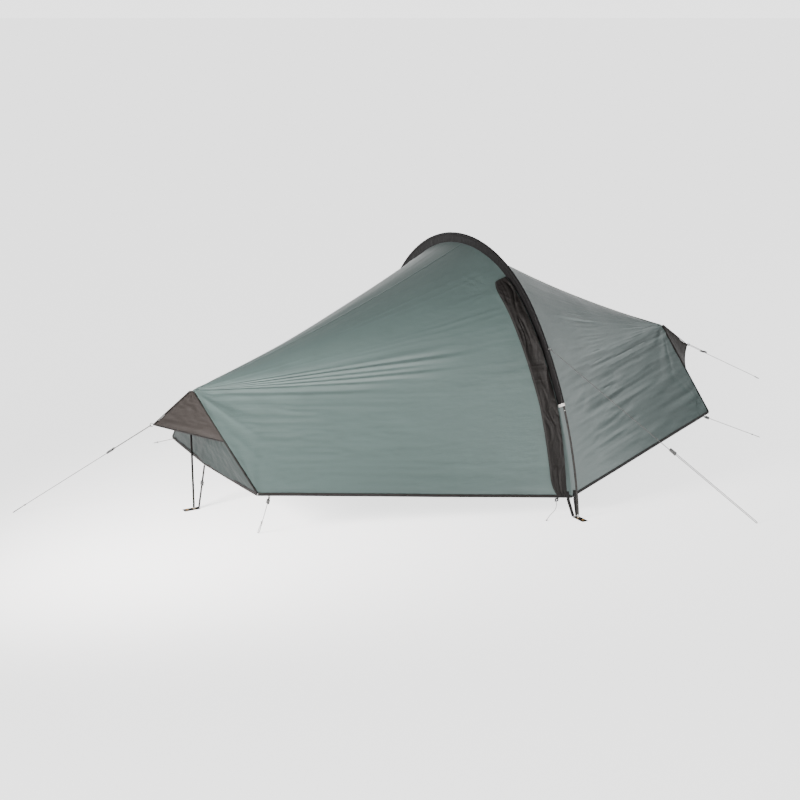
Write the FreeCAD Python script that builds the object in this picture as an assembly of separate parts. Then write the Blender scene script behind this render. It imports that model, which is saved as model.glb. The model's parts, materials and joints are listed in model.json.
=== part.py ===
"""A one-person single-hoop tent, standing pitched on flat ground.

One bent pole makes the hoop across the tent. A short strut stands under each end of the ridge. The flysheet
is stretched from the hoop to the two strut tops and down to four corners, and a sleeping compartment with
a tray floor hangs inside it. Guylines and corner cords run out to the ground.

Frame: millimetres, +Z up, ground at Z = 0, X along the ridge, the door side at -Y. Left and right are as
seen from the door side, so the left end is at -X. The origin is on the ground at the middle of the length
and width.
"""

import FreeCAD
import Part
import os
from math import acos, cos, degrees, pi, radians, sin, tan

V = FreeCAD.Vector
X_AXIS = V(1, 0, 0)
Z_AXIS = V(0, 0, 1)
FRONT, BACK = -1, 1
LEFT, RIGHT = -1, 1

# Driving dimensions of the hoop: a three-centred arch, measured to the outside of the pole sleeve.
HOOP_X = 63.5
HOOP_TOP = 1050.0
CROWN_RADIUS = 735.0
LEG_RADIUS = 1445.0
CROWN_HALF_ANGLE = radians(49.3)
POLE_INSET = 6.0  # outside of the sleeve to the pole's centreline
SEAM_INSET = 43.0  # outside of the sleeve to the flysheet's seam

# Pole and strut tubes.
POLE_R = 4.5
POLE_BORE_R = 3.8
FERRULE_R = 3.72
FERRULE_BORE_R = 3.0
FERRULE_HALF_LENGTH = 40.0
SHOCK_CORD_R = 1.4
CROWN_SECTIONS = 3
LEG_SECTIONS = 2
SECTION_GAP_ANGLE = radians(0.03)
POLE_END_Z = 16.0
STRUT_R = 4.25
STRUT_BORE_R = 3.5

# Flysheet.
HALF_LENGTH = 1233.5  # origin to each strut
APEX_Z = 509.0
CORNER_IN = 77.0  # how far the hem corners stand in from the struts
CORNER_Y = 446.0
CORNER_Z = 185.0
HEM_MIDDLE_IN = 43.0
HEM_MIDDLE_Z = 193.0
HEM_Z_AT_HOOP = 82.0
KNEE_Z = 565.0  # above this height on the hoop the cloth runs to the apex
DOOR_TOP_ANGLE = radians(28.6)
RIDGE_SAG = 30.0
CLOTH = 1.5
SEAM_GAP = 0.8
APEX_SHARE = 0.985  # the cloth ends this far along towards the apex, where the strut's cap is
EDGE_SHARE = 0.997  # and this far along towards the end's edge below it
SEAM_SHARE = 0.0012  # and it starts this far along, beside the sleeve's fin
HEM_HEIGHT = 9.0  # the cloth's edge to the binding's foot
HEM_GAP = 1.6  # the cloth's edge to the binding's top
HEM_THICKNESS = 3.4

# Hoods over the end vents, and the struts under them.
HOOD_OUT = 172.0
HOOD_TIP_Z = 390.0
HOOD_CLOTH = 1.6
HOOD_CLEAR = 4.0
END_STAND_OFF = 3.0
VENT_TOP_SHARE = 0.12
VENT_FOOT_SHARE = 0.5
STRUT_OUT = 14.0
STRUT_FOOT_Z = 9.0
STRUT_TOP_Z = 483.0
TIP_PLUG = 14.0
TIP_COLLAR = 5.0
PIN_R = 2.6
SLEEVE_WALL = 0.8
SLEEVE_END_Z = 455.0

# Door, storm flap and fly zip.
DOOR_TOP_DROP = 96.0  # the door's cloth starts this far down the zip, where it has some width
FOLD_FOOT_SHARE = 0.66  # where the door's fold meets the hem, hoop to corner
DOOR_CLEAR = 14.0  # the fold to the door's edge
FIXED_CLEAR = 32.0  # the fold to the edge of the cloth that stays up
FLAP_WIDTH = 88.0
FLAP_FOOT_WIDTH = 62.0
FLAP_CLEAR = 3.0
FLAP_EDGE = 5.0  # the flap's free edge to the hoop's plane, at the top and at the hem
FLAP_FOOT_EDGE = 24.0
ZIP_X = 30.0  # the zip's line, from the hoop's plane towards the left
ZIP_INSET = 34.0  # the zip's depth below the seam's arc, which clears the cloth
ZIP_SPLIT = 2.0  # half of the gap between the two tapes
TAPE_WIDTH = 13.0
TAPE_THICKNESS = 1.0
WING = (9.0, 1.6, 14.0)  # each plate of a zip slider: across, thick and long
WING_OUT = 2.2  # the zip's plane to a wing's middle
POST = (2.2, 5.0)  # the post between the wings: across and long
CHEEK = (1.2, 4.2, 4.0)  # each cheek that holds the pull's bar
CHEEK_OUT = 3.2
BAR_R = 0.8
BAR_OUT = 5.8
PULL = (4.6, 1.8, 36.0)
PULL_BORE_R = 0.87
PULL_ABOVE_BAR = 2.4
ZIP_TOP_DROP = 100.0  # the tapes' top below the door's top, just under the top of its cloth
ZIP_FOOT_UP = 4.0  # the tapes' foot above the hem
DOOR_TAPE_FOOT = 14.0  # the closed slider's middle to the end of the door's tape
ZIP_SLIDER_UP = 24.0  # the closed slider's height above the zip's foot, along the arc

# Webbing, eyelets and feet.
WEBBING = 1.6
TAB_WIDTH = 26.0
TAB_BEHIND = 22.0
TAB_AHEAD = 46.0
PEG_EYELET_OUT = 30.0
EYELET_R = 4.0
EYELET_OUTER_R = 8.0
EYELET_HEIGHT = 3.0
STRAP_WIDTH = 14.0
BUCKLE = (22.0, 5.6, 16.0)  # across, thick and high
BUCKLE_SHARE = 0.42  # how far down its strap the buckle rests
CORNER_TAB = 16.0
CORNER_TAB_SHARE = 0.965  # where on the hem the corner's webbing is, hoop to corner
CORNER_TAB_WIDTH = 10.0
TENSIONER = (13.0, 6.5, 19.0)
HEM_TO_TAB = 1.2

# Guylines and cords.
CORD_R = 1.25
DOOR_CORD_R = 1.0
STRAND_GAP = 17.0
LOOP_GAP = 12.0  # a peg loop's width round the peg
LOOP_LENGTH = 60.0
LOOP_SIDE = 2.8  # the loop's end beside the cord that it is knotted to
CORD_LIFT = 2.2  # a cord's centreline over the ground where it is pegged
CORD_BORE_CLEAR = 0.35
GUY_RING_ANGLE = radians(56.0)
SIDE_GUY_OUT = V(581.0, -1311.0, CORD_LIFT)  # the front guyline's peg, from the hoop's plane
GROUND_LEFT = V(-1900.0, 345.0, CORD_LIFT)
GROUND_RIGHT = V(2330.0, 400.0, CORD_LIFT)
SIDE_SLIDER_SHARE = 0.60
END_SLIDER_REACH = 205.0
SLIDER_NOSE = 20.0  # the slider's middle to its narrow end
SLIDER_NOSE_HALF = 11.0
SLIDER_TAIL = 12.0  # and to its wide end
SLIDER_TAIL_HALF = 15.5
SLIDER_THICK = 7.0
END_RING_R = 7.0
HOOP_RING_R = 5.5
RING_WIRE_R = 1.3
HOOK = (16.0, 4.0, 14.0)  # the door's hook: across, thick and high
HOOK_SLOT = (8.0, 5.0)
HOOK_SHARE = 0.05  # where it is on the hem
CORNER_CORD_OUT = {  # each corner cord's peg, measured from its hem corner
    (LEFT, FRONT): V(-16.0, 70.0, 0),
    (LEFT, BACK): V(60.0, 500.0, 0),
    (RIGHT, FRONT): V(395.0, 25.0, 0),
    (RIGHT, BACK): V(395.0, -25.0, 0),
}

# Sleeping compartment: the tray's floor outline, and the points its walls are stretched between.
TRAY_HEIGHT = 110.0
TRAY_CLOTH = 2.0
INNER_CLOTH = 1.2
TRAY_OUTLINE = [(-930, 60), (-455, -270), (1010, -270), (1010, 320), (63.5, 640), (-930, 400)]
FRONT_LEAN = 0.19
LEFT_PEAK = V(-905, 170, 400)
RIGHT_PEAK = V(985, 40, 465)
TOP_BACK = V(HOOP_X, 150, 905)
SHOULDER = V(HOOP_X, 520, 560)
INNER_DOOR_X = (-400.0, 30.0)
INNER_DOOR_Z = (150.0, 540.0)
INNER_DOOR_GAP = 3.0
INNER_ZIP_GAP = 10.0

CROWN_CENTRE_Z = HOOP_TOP - CROWN_RADIUS
LEG_CENTRE_Y = (CROWN_RADIUS - LEG_RADIUS) * sin(CROWN_HALF_ANGLE)
LEG_CENTRE_Z = CROWN_CENTRE_Z + (CROWN_RADIUS - LEG_RADIUS) * cos(CROWN_HALF_ANGLE)
RIDGE_GAP_ANGLE = SEAM_GAP / CROWN_RADIUS


# --- The hoop's arc -----------------------------------------------------------------------------------


def arc_point(angle, inset=SEAM_INSET):
    """The point (y, z) of the arch at a normal angle from the vertical, below its outside by inset."""
    side = -1 if angle < 0 else 1
    a = abs(angle)
    if a <= CROWN_HALF_ANGLE:
        y = (CROWN_RADIUS - inset) * sin(a)
        z = CROWN_CENTRE_Z + (CROWN_RADIUS - inset) * cos(a)
    else:
        y = LEG_CENTRE_Y + (LEG_RADIUS - inset) * sin(a)
        z = LEG_CENTRE_Z + (LEG_RADIUS - inset) * cos(a)
    return side * y, z


def leg_angle_at(z, inset=SEAM_INSET):
    """The leg's normal angle where the arch is at height z."""
    return acos((z - LEG_CENTRE_Z) / (LEG_RADIUS - inset))


def arc_length(angle, inset=SEAM_INSET):
    """Length along the arch from its crown to an angle, with the angle's sign."""
    a = abs(angle)
    crown = (CROWN_RADIUS - inset) * min(a, CROWN_HALF_ANGLE)
    leg = (LEG_RADIUS - inset) * max(0.0, a - CROWN_HALF_ANGLE)
    return (crown + leg) * (-1 if angle < 0 else 1)


def angle_at(length, inset=SEAM_INSET):
    """The inverse of arc_length."""
    side = -1 if length < 0 else 1
    crown = (CROWN_RADIUS - inset) * CROWN_HALF_ANGLE
    if abs(length) <= crown:
        return length / (CROWN_RADIUS - inset)
    return side * (CROWN_HALF_ANGLE + (abs(length) - crown) / (LEG_RADIUS - inset))


HEM_ANGLE = leg_angle_at(HEM_Z_AT_HOOP)
KNEE_ANGLE = leg_angle_at(KNEE_Z)
POLE_END_ANGLE = leg_angle_at(POLE_END_Z, POLE_INSET)
SLEEVE_END_ANGLE = leg_angle_at(SLEEVE_END_Z, POLE_INSET)


def spaced(first, last, count):
    """count values evenly spaced from first to last."""
    return [first + (last - first) * i / (count - 1) for i in range(count)]


def angles(first, last, count):
    """Angles from first to last, evenly spaced along the seam."""
    return [angle_at(s) for s in spaced(arc_length(first), arc_length(last), count)]


# --- Cloth as thin solids -----------------------------------------------------------------------------


def knots(count, degree):
    """Multiplicities and knots of a clamped uniform B-spline with count control points."""
    inner = count - degree - 1
    mults = [degree + 1] + [1] * inner + [degree + 1]
    return mults, [float(i) for i in range(inner + 2)]


def spline_face(rows):
    """A smooth face over a grid of control points."""
    u_degree = min(3, len(rows) - 1)
    v_degree = min(3, len(rows[0]) - 1)
    u_mults, u_knots = knots(len(rows), u_degree)
    v_mults, v_knots = knots(len(rows[0]), v_degree)
    surface = Part.BSplineSurface()
    surface.buildFromPolesMultsKnots(
        rows, u_mults, v_mults, u_knots, v_knots, False, False, u_degree, v_degree
    )
    return surface.toShape()


def skin(outer, inner):
    """The closed solid between two grids of control points of the same size."""
    sides = [
        [outer[0], inner[0]],
        [outer[-1], inner[-1]],
        [[row[0] for row in outer], [row[0] for row in inner]],
        [[row[-1] for row in outer], [row[-1] for row in inner]],
    ]
    shell = Part.makeShell([spline_face(rows) for rows in [outer, inner] + sides])
    shell.sewShape()
    solid = Part.makeSolid(shell)
    if solid.Volume < 0:
        solid.reverse()
    return solid


def grid_normals(rows, outward):
    """Unit normals of a grid, on the side where outward(point) points."""
    found = []
    for i, row in enumerate(rows):
        line = []
        for j, point in enumerate(row):
            along = rows[min(i + 1, len(rows) - 1)][j] - rows[max(i - 1, 0)][j]
            across = row[min(j + 1, len(row) - 1)] - row[max(j - 1, 0)]
            normal = along.cross(across)
            normal.normalize()
            if normal.dot(outward(point)) < 0:
                normal = -normal
            line.append(normal)
        found.append(line)
    return found


def away_from_axis(point):
    """A rough outward direction for the flysheet: away from a line along the tent's middle."""
    return V(0, point.y, point.z - 250)


def cloth_sheet(rows, thickness=CLOTH, lift=0.0, outward=away_from_axis):
    """A sheet whose outer face is the grid, raised by lift, and which is thickness thick."""
    normals = grid_normals(rows, outward)
    outer = [[p + n * lift for p, n in zip(r, m)] for r, m in zip(rows, normals)]
    inner = [[p + n * (lift - thickness) for p, n in zip(r, m)] for r, m in zip(rows, normals)]
    return skin(outer, inner)


def flat_sheet(corners, thickness, outward):
    """A thin four-cornered solid; corners run round the piece."""
    a, b, c, d = corners
    return cloth_sheet([[a, b], [d, c]], thickness, 0.0, outward)


# --- The flysheet's surface ---------------------------------------------------------------------------


def apex(end):
    return V(end * HALF_LENGTH, 0, APEX_Z)


def corner(end, side):
    return V(end * (HALF_LENGTH - CORNER_IN), side * CORNER_Y, CORNER_Z)


def hem_middle(end):
    return V(end * (HALF_LENGTH - HEM_MIDDLE_IN), 0, HEM_MIDDLE_Z)


def hood_tip(end):
    return V(end * (HALF_LENGTH + HOOD_OUT), 0, HOOD_TIP_Z)


def edge_share(angle):
    """How far down the end's edge, apex to corner, the cloth from this angle of the hoop runs to."""
    past = abs(arc_length(angle)) - arc_length(KNEE_ANGLE)
    return (max(0.0, past) / (arc_length(HEM_ANGLE) - arc_length(KNEE_ANGLE))) ** 1.3


def fly_point(end, angle, share):
    """A point of the flysheet: from the seam at angle (share 0) to the end's edge (share 1)."""
    side = -1 if angle < 0 else 1
    y, z = arc_point(angle)
    down = edge_share(angle)
    start = V(HOOP_X, y, z)
    finish = apex(end) + (corner(end, side) - apex(end)) * down
    sag = RIDGE_SAG * 4 * share * (1 - share) * (1 - down)
    return start + (finish - start) * share + V(0, -sin(angle), -cos(angle)) * sag


def length_to(end):
    """The distance along X from the hoop to an end's strut."""
    return abs(end * HALF_LENGTH - HOOP_X)


def fly_grid(end, angle_list, first, last, count):
    """Points of the flysheet: a row for each angle, from share first(angle) to share last(angle)."""
    return [[fly_point(end, a, s) for s in spaced(first(a), last(a), count)] for a in angle_list]


def at_seam(angle):
    return SEAM_SHARE


def at_end(angle):
    """The cloth's last share: it stops short of the apex, and runs nearly to the edge lower down."""
    return APEX_SHARE + (EDGE_SHARE - APEX_SHARE) * edge_share(angle) ** 0.5


def fly_panel(end, side):
    """One quarter of the flysheet, from the ridge down to the hem."""
    listed = angles(side * RIDGE_GAP_ANGLE, side * HEM_ANGLE, 20)
    return cloth_sheet(fly_grid(end, listed, at_seam, at_end, 9))



# --- The door -----------------------------------------------------------------------------------------

FOLD_TOP = fly_point(LEFT, -DOOR_TOP_ANGLE, 0.0)
FOLD_FOOT = fly_point(LEFT, -HEM_ANGLE, FOLD_FOOT_SHARE)
FOLD_ALONG = (FOLD_TOP - FOLD_FOOT).normalize()
MIDDLE_ANGLE = (DOOR_TOP_ANGLE + HEM_ANGLE) / 2
RULING = fly_point(LEFT, -MIDDLE_ANGLE, 1.0) - fly_point(LEFT, -MIDDLE_ANGLE, 0.0)
FOLD_ACROSS = (RULING - FOLD_ALONG * RULING.dot(FOLD_ALONG)).normalize()  # in the cloth, to the left
FOLD_OUT = FOLD_ALONG.cross(FOLD_ACROSS)


def fold_share(angle, clear):
    """The share at which the cloth is clear mm past the fold's plane; positive is to the left."""
    low, high = 0.0, 1.0
    for _ in range(40):
        middle = (low + high) / 2
        if (fly_point(LEFT, angle, middle) - FOLD_TOP).dot(FOLD_ACROSS) < clear:
            low = middle
        else:
            high = middle
    return (low + high) / 2


def down_the_zip(angle):
    """How far an angle is below the flap's top and above the hem, along the seam."""
    along = abs(arc_length(angle))
    return along - arc_length(DOOR_TOP_ANGLE), arc_length(HEM_ANGLE) - along


def flap_edge(angle):
    """The share of the flap's free edge, which leaves the seam below the sleeve's end."""
    past = (abs(angle) - SLEEVE_END_ANGLE) / (HEM_ANGLE - SLEEVE_END_ANGLE)
    return (FLAP_EDGE + (FLAP_FOOT_EDGE - FLAP_EDGE) * max(0.0, past)) / length_to(LEFT)


def flap_seam(angle):
    """The share of the seam between the flap and the door's cloth, rounded in at both ends."""
    from_top, from_hem = down_the_zip(angle)
    past = max(0.0, (abs(angle) - SLEEVE_END_ANGLE) / (HEM_ANGLE - SLEEVE_END_ANGLE))
    width = FLAP_WIDTH + (FLAP_FOOT_WIDTH - FLAP_WIDTH) * past
    for distance, reach, least in ((from_top, 110.0, 20.0), (from_hem, 75.0, 28.0)):
        if distance < reach:
            bulge = (1 - (1 - max(0.0, distance) / reach) ** 2) ** 0.5
            width = min(width, least + (width - least) * bulge)
    return flap_edge(angle) + width / length_to(LEFT)


def door_edge(angle):
    """The share of the door cloth's edge under the flap, beside the zip."""
    return (ZIP_X + ZIP_SPLIT) / length_to(LEFT)


def zip_strip_edge(angle):
    return (ZIP_X - ZIP_SPLIT) / length_to(LEFT)


def fly_panel_left_front():
    """The cloth that stays up: above the door, left of its fold, and a strip beside the zip."""
    above = angles(-RIDGE_GAP_ANGLE, -DOOR_TOP_ANGLE, 9)
    below = angles(-DOOR_TOP_ANGLE - RIDGE_GAP_ANGLE, -HEM_ANGLE, 14)
    grids = [
        fly_grid(LEFT, above, at_seam, at_end, 9),
        fly_grid(LEFT, below, lambda a: fold_share(a, FIXED_CLEAR), at_end, 9),
        fly_grid(LEFT, below, at_seam, zip_strip_edge, 2),
    ]
    return [cloth_sheet(rows) for rows in grids]


def fly_door_panel():
    """The door's cloth, from the zip to the fold."""
    top = DOOR_TOP_ANGLE + DOOR_TOP_DROP / CROWN_RADIUS
    listed = angles(-top, -HEM_ANGLE, 13)
    return cloth_sheet(fly_grid(LEFT, listed, door_edge, lambda a: fold_share(a, -DOOR_CLEAR), 8))


def storm_flap():
    """The strip sewn to the door that covers the zip, up to the pole's sleeve."""
    listed = angles(-DOOR_TOP_ANGLE - 30.0 / CROWN_RADIUS, -HEM_ANGLE, 18)
    return cloth_sheet(fly_grid(LEFT, listed, flap_edge, flap_seam, 4), CLOTH, FLAP_CLEAR)


# --- Parts swept along the hoop -----------------------------------------------------------------------


def swept(profile, first, last):
    """A profile drawn in the X-Z plane, as a function of the arc's radius, swept between two angles.

    profile(outside_radius) returns a face standing at x = HOOP_X and y = 0, above the arc's centre.
    """
    solids = []
    side = -1 if (first + last) < 0 else 1
    low, high = sorted((abs(first), abs(last)))
    spans = []
    if first * last < 0:
        spans.append((0.0, CROWN_CENTRE_Z, CROWN_RADIUS, first, last))
    else:
        if low < CROWN_HALF_ANGLE:
            top = min(high, CROWN_HALF_ANGLE)
            spans.append((0.0, CROWN_CENTRE_Z, CROWN_RADIUS, side * low, side * top))
        if high > CROWN_HALF_ANGLE:
            start = max(low, CROWN_HALF_ANGLE)
            spans.append((side * LEG_CENTRE_Y, LEG_CENTRE_Z, LEG_RADIUS, side * start, side * high))
    for centre_y, centre_z, radius, start, stop in spans:
        centre = V(HOOP_X, centre_y, centre_z)
        face = profile(radius)
        face.translate(centre)
        face.rotate(centre, X_AXIS, -degrees(start))
        solids.append(face.revolve(centre, X_AXIS, -degrees(stop - start)))
    return solids


def disc(radius, inset, bore=0.0):
    """A profile for swept: a round bar or tube, with its centre inset below the arc's outside."""

    def face(outside):
        centre = V(0, 0, outside - inset)
        wire = Part.Wire(Part.makeCircle(radius, centre, V(0, 1, 0)))
        shape = Part.Face(wire)
        if bore:
            shape = shape.cut(Part.Face(Part.Wire(Part.makeCircle(bore, centre, V(0, 1, 0)))))
        return shape.Faces[0]

    return face


def strip(x_low, x_high, inset_low, inset_high):
    """A profile for swept: a rectangle between two X values and two insets."""

    def face(outside):
        low, high = outside - inset_high, outside - inset_low
        points = [V(x_low, 0, low), V(x_high, 0, low), V(x_high, 0, high), V(x_low, 0, high)]
        return Part.Face(Part.makePolygon(points + points[:1]))

    return face


def pole_joint_angles():
    """The angles of the ends of the pole's sections, from the back foot to the front one."""
    crown = spaced(-CROWN_HALF_ANGLE, CROWN_HALF_ANGLE, CROWN_SECTIONS + 1)
    leg = spaced(CROWN_HALF_ANGLE, POLE_END_ANGLE, LEG_SECTIONS + 1)[1:]
    return [-a for a in reversed(leg)] + crown + leg


def hoop_pole_sections():
    joints = pole_joint_angles()
    solids = []
    for first, last in zip(joints[:-1], joints[1:]):
        tube = disc(POLE_R, POLE_INSET, POLE_BORE_R)
        solids += swept(tube, first + SECTION_GAP_ANGLE, last - SECTION_GAP_ANGLE)
    return solids


def hoop_pole_ferrules():
    solids = []
    for joint in pole_joint_angles()[1:-1]:
        at = arc_length(joint, POLE_INSET)
        first = angle_at(at - FERRULE_HALF_LENGTH, POLE_INSET)
        last = angle_at(at + FERRULE_HALF_LENGTH, POLE_INSET)
        halves = swept(disc(FERRULE_R, POLE_INSET, FERRULE_BORE_R), first, last)
        solids += [halves[0].fuse(halves[1:]).removeSplitter()] if len(halves) > 1 else halves
    return solids


def hoop_shock_cord():
    reach = angle_at(arc_length(POLE_END_ANGLE, POLE_INSET) - 16.0, POLE_INSET)
    cord = disc(SHOCK_CORD_R, POLE_INSET)
    legs = swept(cord, CROWN_HALF_ANGLE, reach) + swept(cord, -CROWN_HALF_ANGLE, -reach)
    return swept(cord, -CROWN_HALF_ANGLE + 1e-5, CROWN_HALF_ANGLE - 1e-5) + legs


def leg_end(side):
    """The pole's lower end and its direction down."""
    y, z = arc_point(side * POLE_END_ANGLE, POLE_INSET)
    down = V(0, side * cos(POLE_END_ANGLE), -sin(POLE_END_ANGLE))
    return V(HOOP_X, y, z), down


def pole_tip(foot, down, bore_r, tube_r):
    """A plug in the tube's end, a collar against it, and a pin that stands in an eyelet."""
    plug = Part.makeCylinder(bore_r - 0.05, TIP_PLUG + 0.5, foot - down * TIP_PLUG, down)
    collar = Part.makeCylinder(tube_r, TIP_COLLAR, foot + down * 0.05, down)
    below = foot + down * (TIP_COLLAR - 0.5)
    pin = Part.makeCylinder(PIN_R, (below.z - 1.0) / -down.z, below, down)
    return plug.fuse([collar, pin]).removeSplitter()


def hoop_pole_tips():
    return [pole_tip(*leg_end(side), POLE_BORE_R, POLE_R) for side in (FRONT, BACK)]


def sleeve_profile(outside):
    """The sleeve's tube round the pole, with the fin that joins it to the flysheet's seam."""
    centre = V(0, 0, outside - POLE_INSET)
    tube = Part.Face(Part.Wire(Part.makeCircle(POLE_INSET, centre, V(0, 1, 0))))
    fin_low, fin_high = outside - SEAM_INSET - 2.0, outside - POLE_INSET
    points = [V(-3.2, 0, fin_high), V(3.2, 0, fin_high), V(1.0, 0, fin_low), V(-1.0, 0, fin_low)]
    fin = Part.Face(Part.makePolygon(points + points[:1]))
    bore = Part.Face(Part.Wire(Part.makeCircle(POLE_INSET - SLEEVE_WALL, centre, V(0, 1, 0))))
    return tube.fuse(fin).removeSplitter().cut(bore).Faces[0]


def pole_sleeve():
    parts = swept(sleeve_profile, -CROWN_HALF_ANGLE, CROWN_HALF_ANGLE)
    for side in (FRONT, BACK):
        parts += swept(sleeve_profile, side * CROWN_HALF_ANGLE, side * SLEEVE_END_ANGLE)
    return parts


def sleeve_end_bands():
    """A pale binding across each lower end of the sleeve."""
    height = 9.0 / LEG_RADIUS
    bands = []
    for side in (FRONT, BACK):
        start = side * (SLEEVE_END_ANGLE + 0.4 / LEG_RADIUS)
        bands += swept(sleeve_profile, start, start + side * height)
    return bands


# --- Zips ---------------------------------------------------------------------------------------------

ZIP_TOP_ANGLE = DOOR_TOP_ANGLE + ZIP_TOP_DROP / CROWN_RADIUS
ZIP_FOOT_ANGLE = HEM_ANGLE - ZIP_FOOT_UP / LEG_RADIUS
ZIP_REST_ANGLE = ZIP_FOOT_ANGLE - ZIP_SLIDER_UP / LEG_RADIUS


def zip_tape(x_far, x_near, foot_angle):
    """A tape along the arc, between two distances from the hoop's plane."""
    low = SEAM_INSET + ZIP_INSET - TAPE_THICKNESS / 2
    profile = strip(-x_far, -x_near, low, low + TAPE_THICKNESS)
    return swept(profile, -ZIP_TOP_ANGLE, -foot_angle)


def fly_zip_tape_fixed():
    return zip_tape(ZIP_X - ZIP_SPLIT, ZIP_X - ZIP_SPLIT - TAPE_WIDTH, ZIP_FOOT_ANGLE)


def fly_zip_tape_door():
    foot = ZIP_REST_ANGLE - DOOR_TAPE_FOOT / LEG_RADIUS
    return zip_tape(ZIP_X + ZIP_SPLIT + TAPE_WIDTH, ZIP_X + ZIP_SPLIT, foot)


def fly_zip_place():
    """The closed slider's middle, the way its pull faces, and the way down the zip."""
    y, z = arc_point(-ZIP_REST_ANGLE, SEAM_INSET + ZIP_INSET)
    inward = V(0, sin(ZIP_REST_ANGLE), -cos(ZIP_REST_ANGLE))
    down = V(0, -cos(ZIP_REST_ANGLE), -sin(ZIP_REST_ANGLE))
    return V(HOOP_X - ZIP_X, y, z), inward, down


def placed(shape, centre, out, down):
    """A shape drawn about the origin, moved so that its Y points along out and its Z along down."""
    side = out.cross(down).normalize()
    matrix = FreeCAD.Matrix(
        side.x, out.x, down.x, centre.x,
        side.y, out.y, down.y, centre.y,
        side.z, out.z, down.z, centre.z,
        0, 0, 0, 1,
    )
    moved = shape.copy()
    moved.Placement = FreeCAD.Placement(matrix)
    return moved


def block(x_size, y_size, z_size, middle=V(0, 0, 0)):
    """A box about a middle point."""
    return Part.makeBox(x_size, y_size, z_size, middle - V(x_size / 2, y_size / 2, z_size / 2))


def zip_slider(place):
    """Two wings joined by a post between the tapes, and a bar for the pull between two cheeks."""
    wings = [block(*WING, V(0, side * WING_OUT, 0)) for side in (1, -1)]
    across, long = POST
    post = block(across, 2 * WING_OUT, long)
    foot = WING_OUT + (WING[1] + CHEEK[1]) / 2 - 0.3
    cheeks = [block(*CHEEK, V(side * CHEEK_OUT, foot, 0)) for side in (1, -1)]
    bar = Part.makeCylinder(BAR_R, 2 * CHEEK_OUT, V(-CHEEK_OUT, BAR_OUT, 0), X_AXIS)
    return placed(wings[0].fuse([wings[1], post, bar] + cheeks).removeSplitter(), *place)


def zip_pull(bar, out, down):
    """A flat tab that swings on the slider's bar, drawn hanging along down."""
    width, thick, length = PULL
    tab = block(width, thick, length, V(0, 0, length / 2 - PULL_ABOVE_BAR))
    bore = Part.makeCylinder(PULL_BORE_R, 2 * width, V(-width, 0, 0), X_AXIS)
    return placed(tab.cut(bore), bar, out, down)


def fly_zip_pull():
    """The pull inside the flysheet, which hangs straight down from its bar."""
    centre, inward, _ = fly_zip_place()
    return zip_pull(centre + inward * BAR_OUT, V(0, 1, 0), V(0, 0, -1))


def inner_zip_pull():
    """The pull on the compartment's door, which lies against the leaning wall."""
    centre, out, down = inner_zip_place()
    return zip_pull(centre + out * BAR_OUT, out, down)


# --- Ends: panels, vents and hoods --------------------------------------------------------------------


def end_edge(end, side, down, out=0.0):
    """A point of the end's edge, down of the way from apex to corner, out mm beyond it."""
    return apex(end) + (corner(end, side) - apex(end)) * down + V(end * out, 0, 0)


def end_row(end, down, count=7):
    """A row across the end, at this share of the way down; it bows out to the hem's middle."""
    left, right = (end_edge(end, s, down, END_STAND_OFF) for s in (FRONT, BACK))
    middle = (left + right) * 0.5
    foot = hem_middle(end) + V(end * END_STAND_OFF, 0, 0)
    straight = (end_edge(end, FRONT, 1, END_STAND_OFF) + end_edge(end, BACK, 1, END_STAND_OFF)) * 0.5
    pull = (foot - straight) * down**3
    row = []
    for t in spaced(-1, 1, count):
        row.append(middle + (right - left) * (t / 2) + pull * (1 - abs(t)) ** 0.8)
    return row


def end_out(end):
    return lambda point: V(end, 0, 0)


def end_panel(end):
    rows = [end_row(end, d) for d in spaced(VENT_FOOT_SHARE + 0.004, 1.0, 5)]
    return cloth_sheet(rows, CLOTH, 0.0, end_out(end))


def vent_mesh(end):
    rows = [end_row(end, d) for d in spaced(VENT_TOP_SHARE, VENT_FOOT_SHARE, 4)]
    return cloth_sheet(rows, 1.0, 0.0, end_out(end))


def hood(end):
    """Two triangles of cloth that meet on a ridge from the apex to the guyline's ring."""
    solids = []
    for side in (FRONT, BACK):
        top = apex(end) + V(end * HOOD_CLEAR, side * 1.0, 3.0)
        tip = hood_tip(end) + V(0, side * 1.0, 0)
        low = end_edge(end, side, VENT_FOOT_SHARE, HOOD_CLEAR) + V(end * 2.0, side * 2.0, 0)
        rows = []
        for t in (0.06, 0.35, 0.65, 1.0):
            first = top + (tip - top) * t
            last = top + (low - top) * t
            middle = (first + last) * 0.5 + V(-end * 5.0, -side * 5.0, -4.0) * t
            rows.append([first, middle, last])
        outward = V(0, side, 0.8)
        solids.append(cloth_sheet(rows, HOOD_CLOTH, 0.0, lambda point, o=outward: o))
    return solids


def strut(end):
    """A short tube standing under the apex."""
    base = V(end * (HALF_LENGTH + STRUT_OUT), 0, STRUT_FOOT_Z)
    height = STRUT_TOP_Z - STRUT_FOOT_Z
    tube = Part.makeCylinder(STRUT_R, height, base, Z_AXIS)
    return tube.cut(Part.makeCylinder(STRUT_BORE_R, height, base, Z_AXIS))


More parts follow.
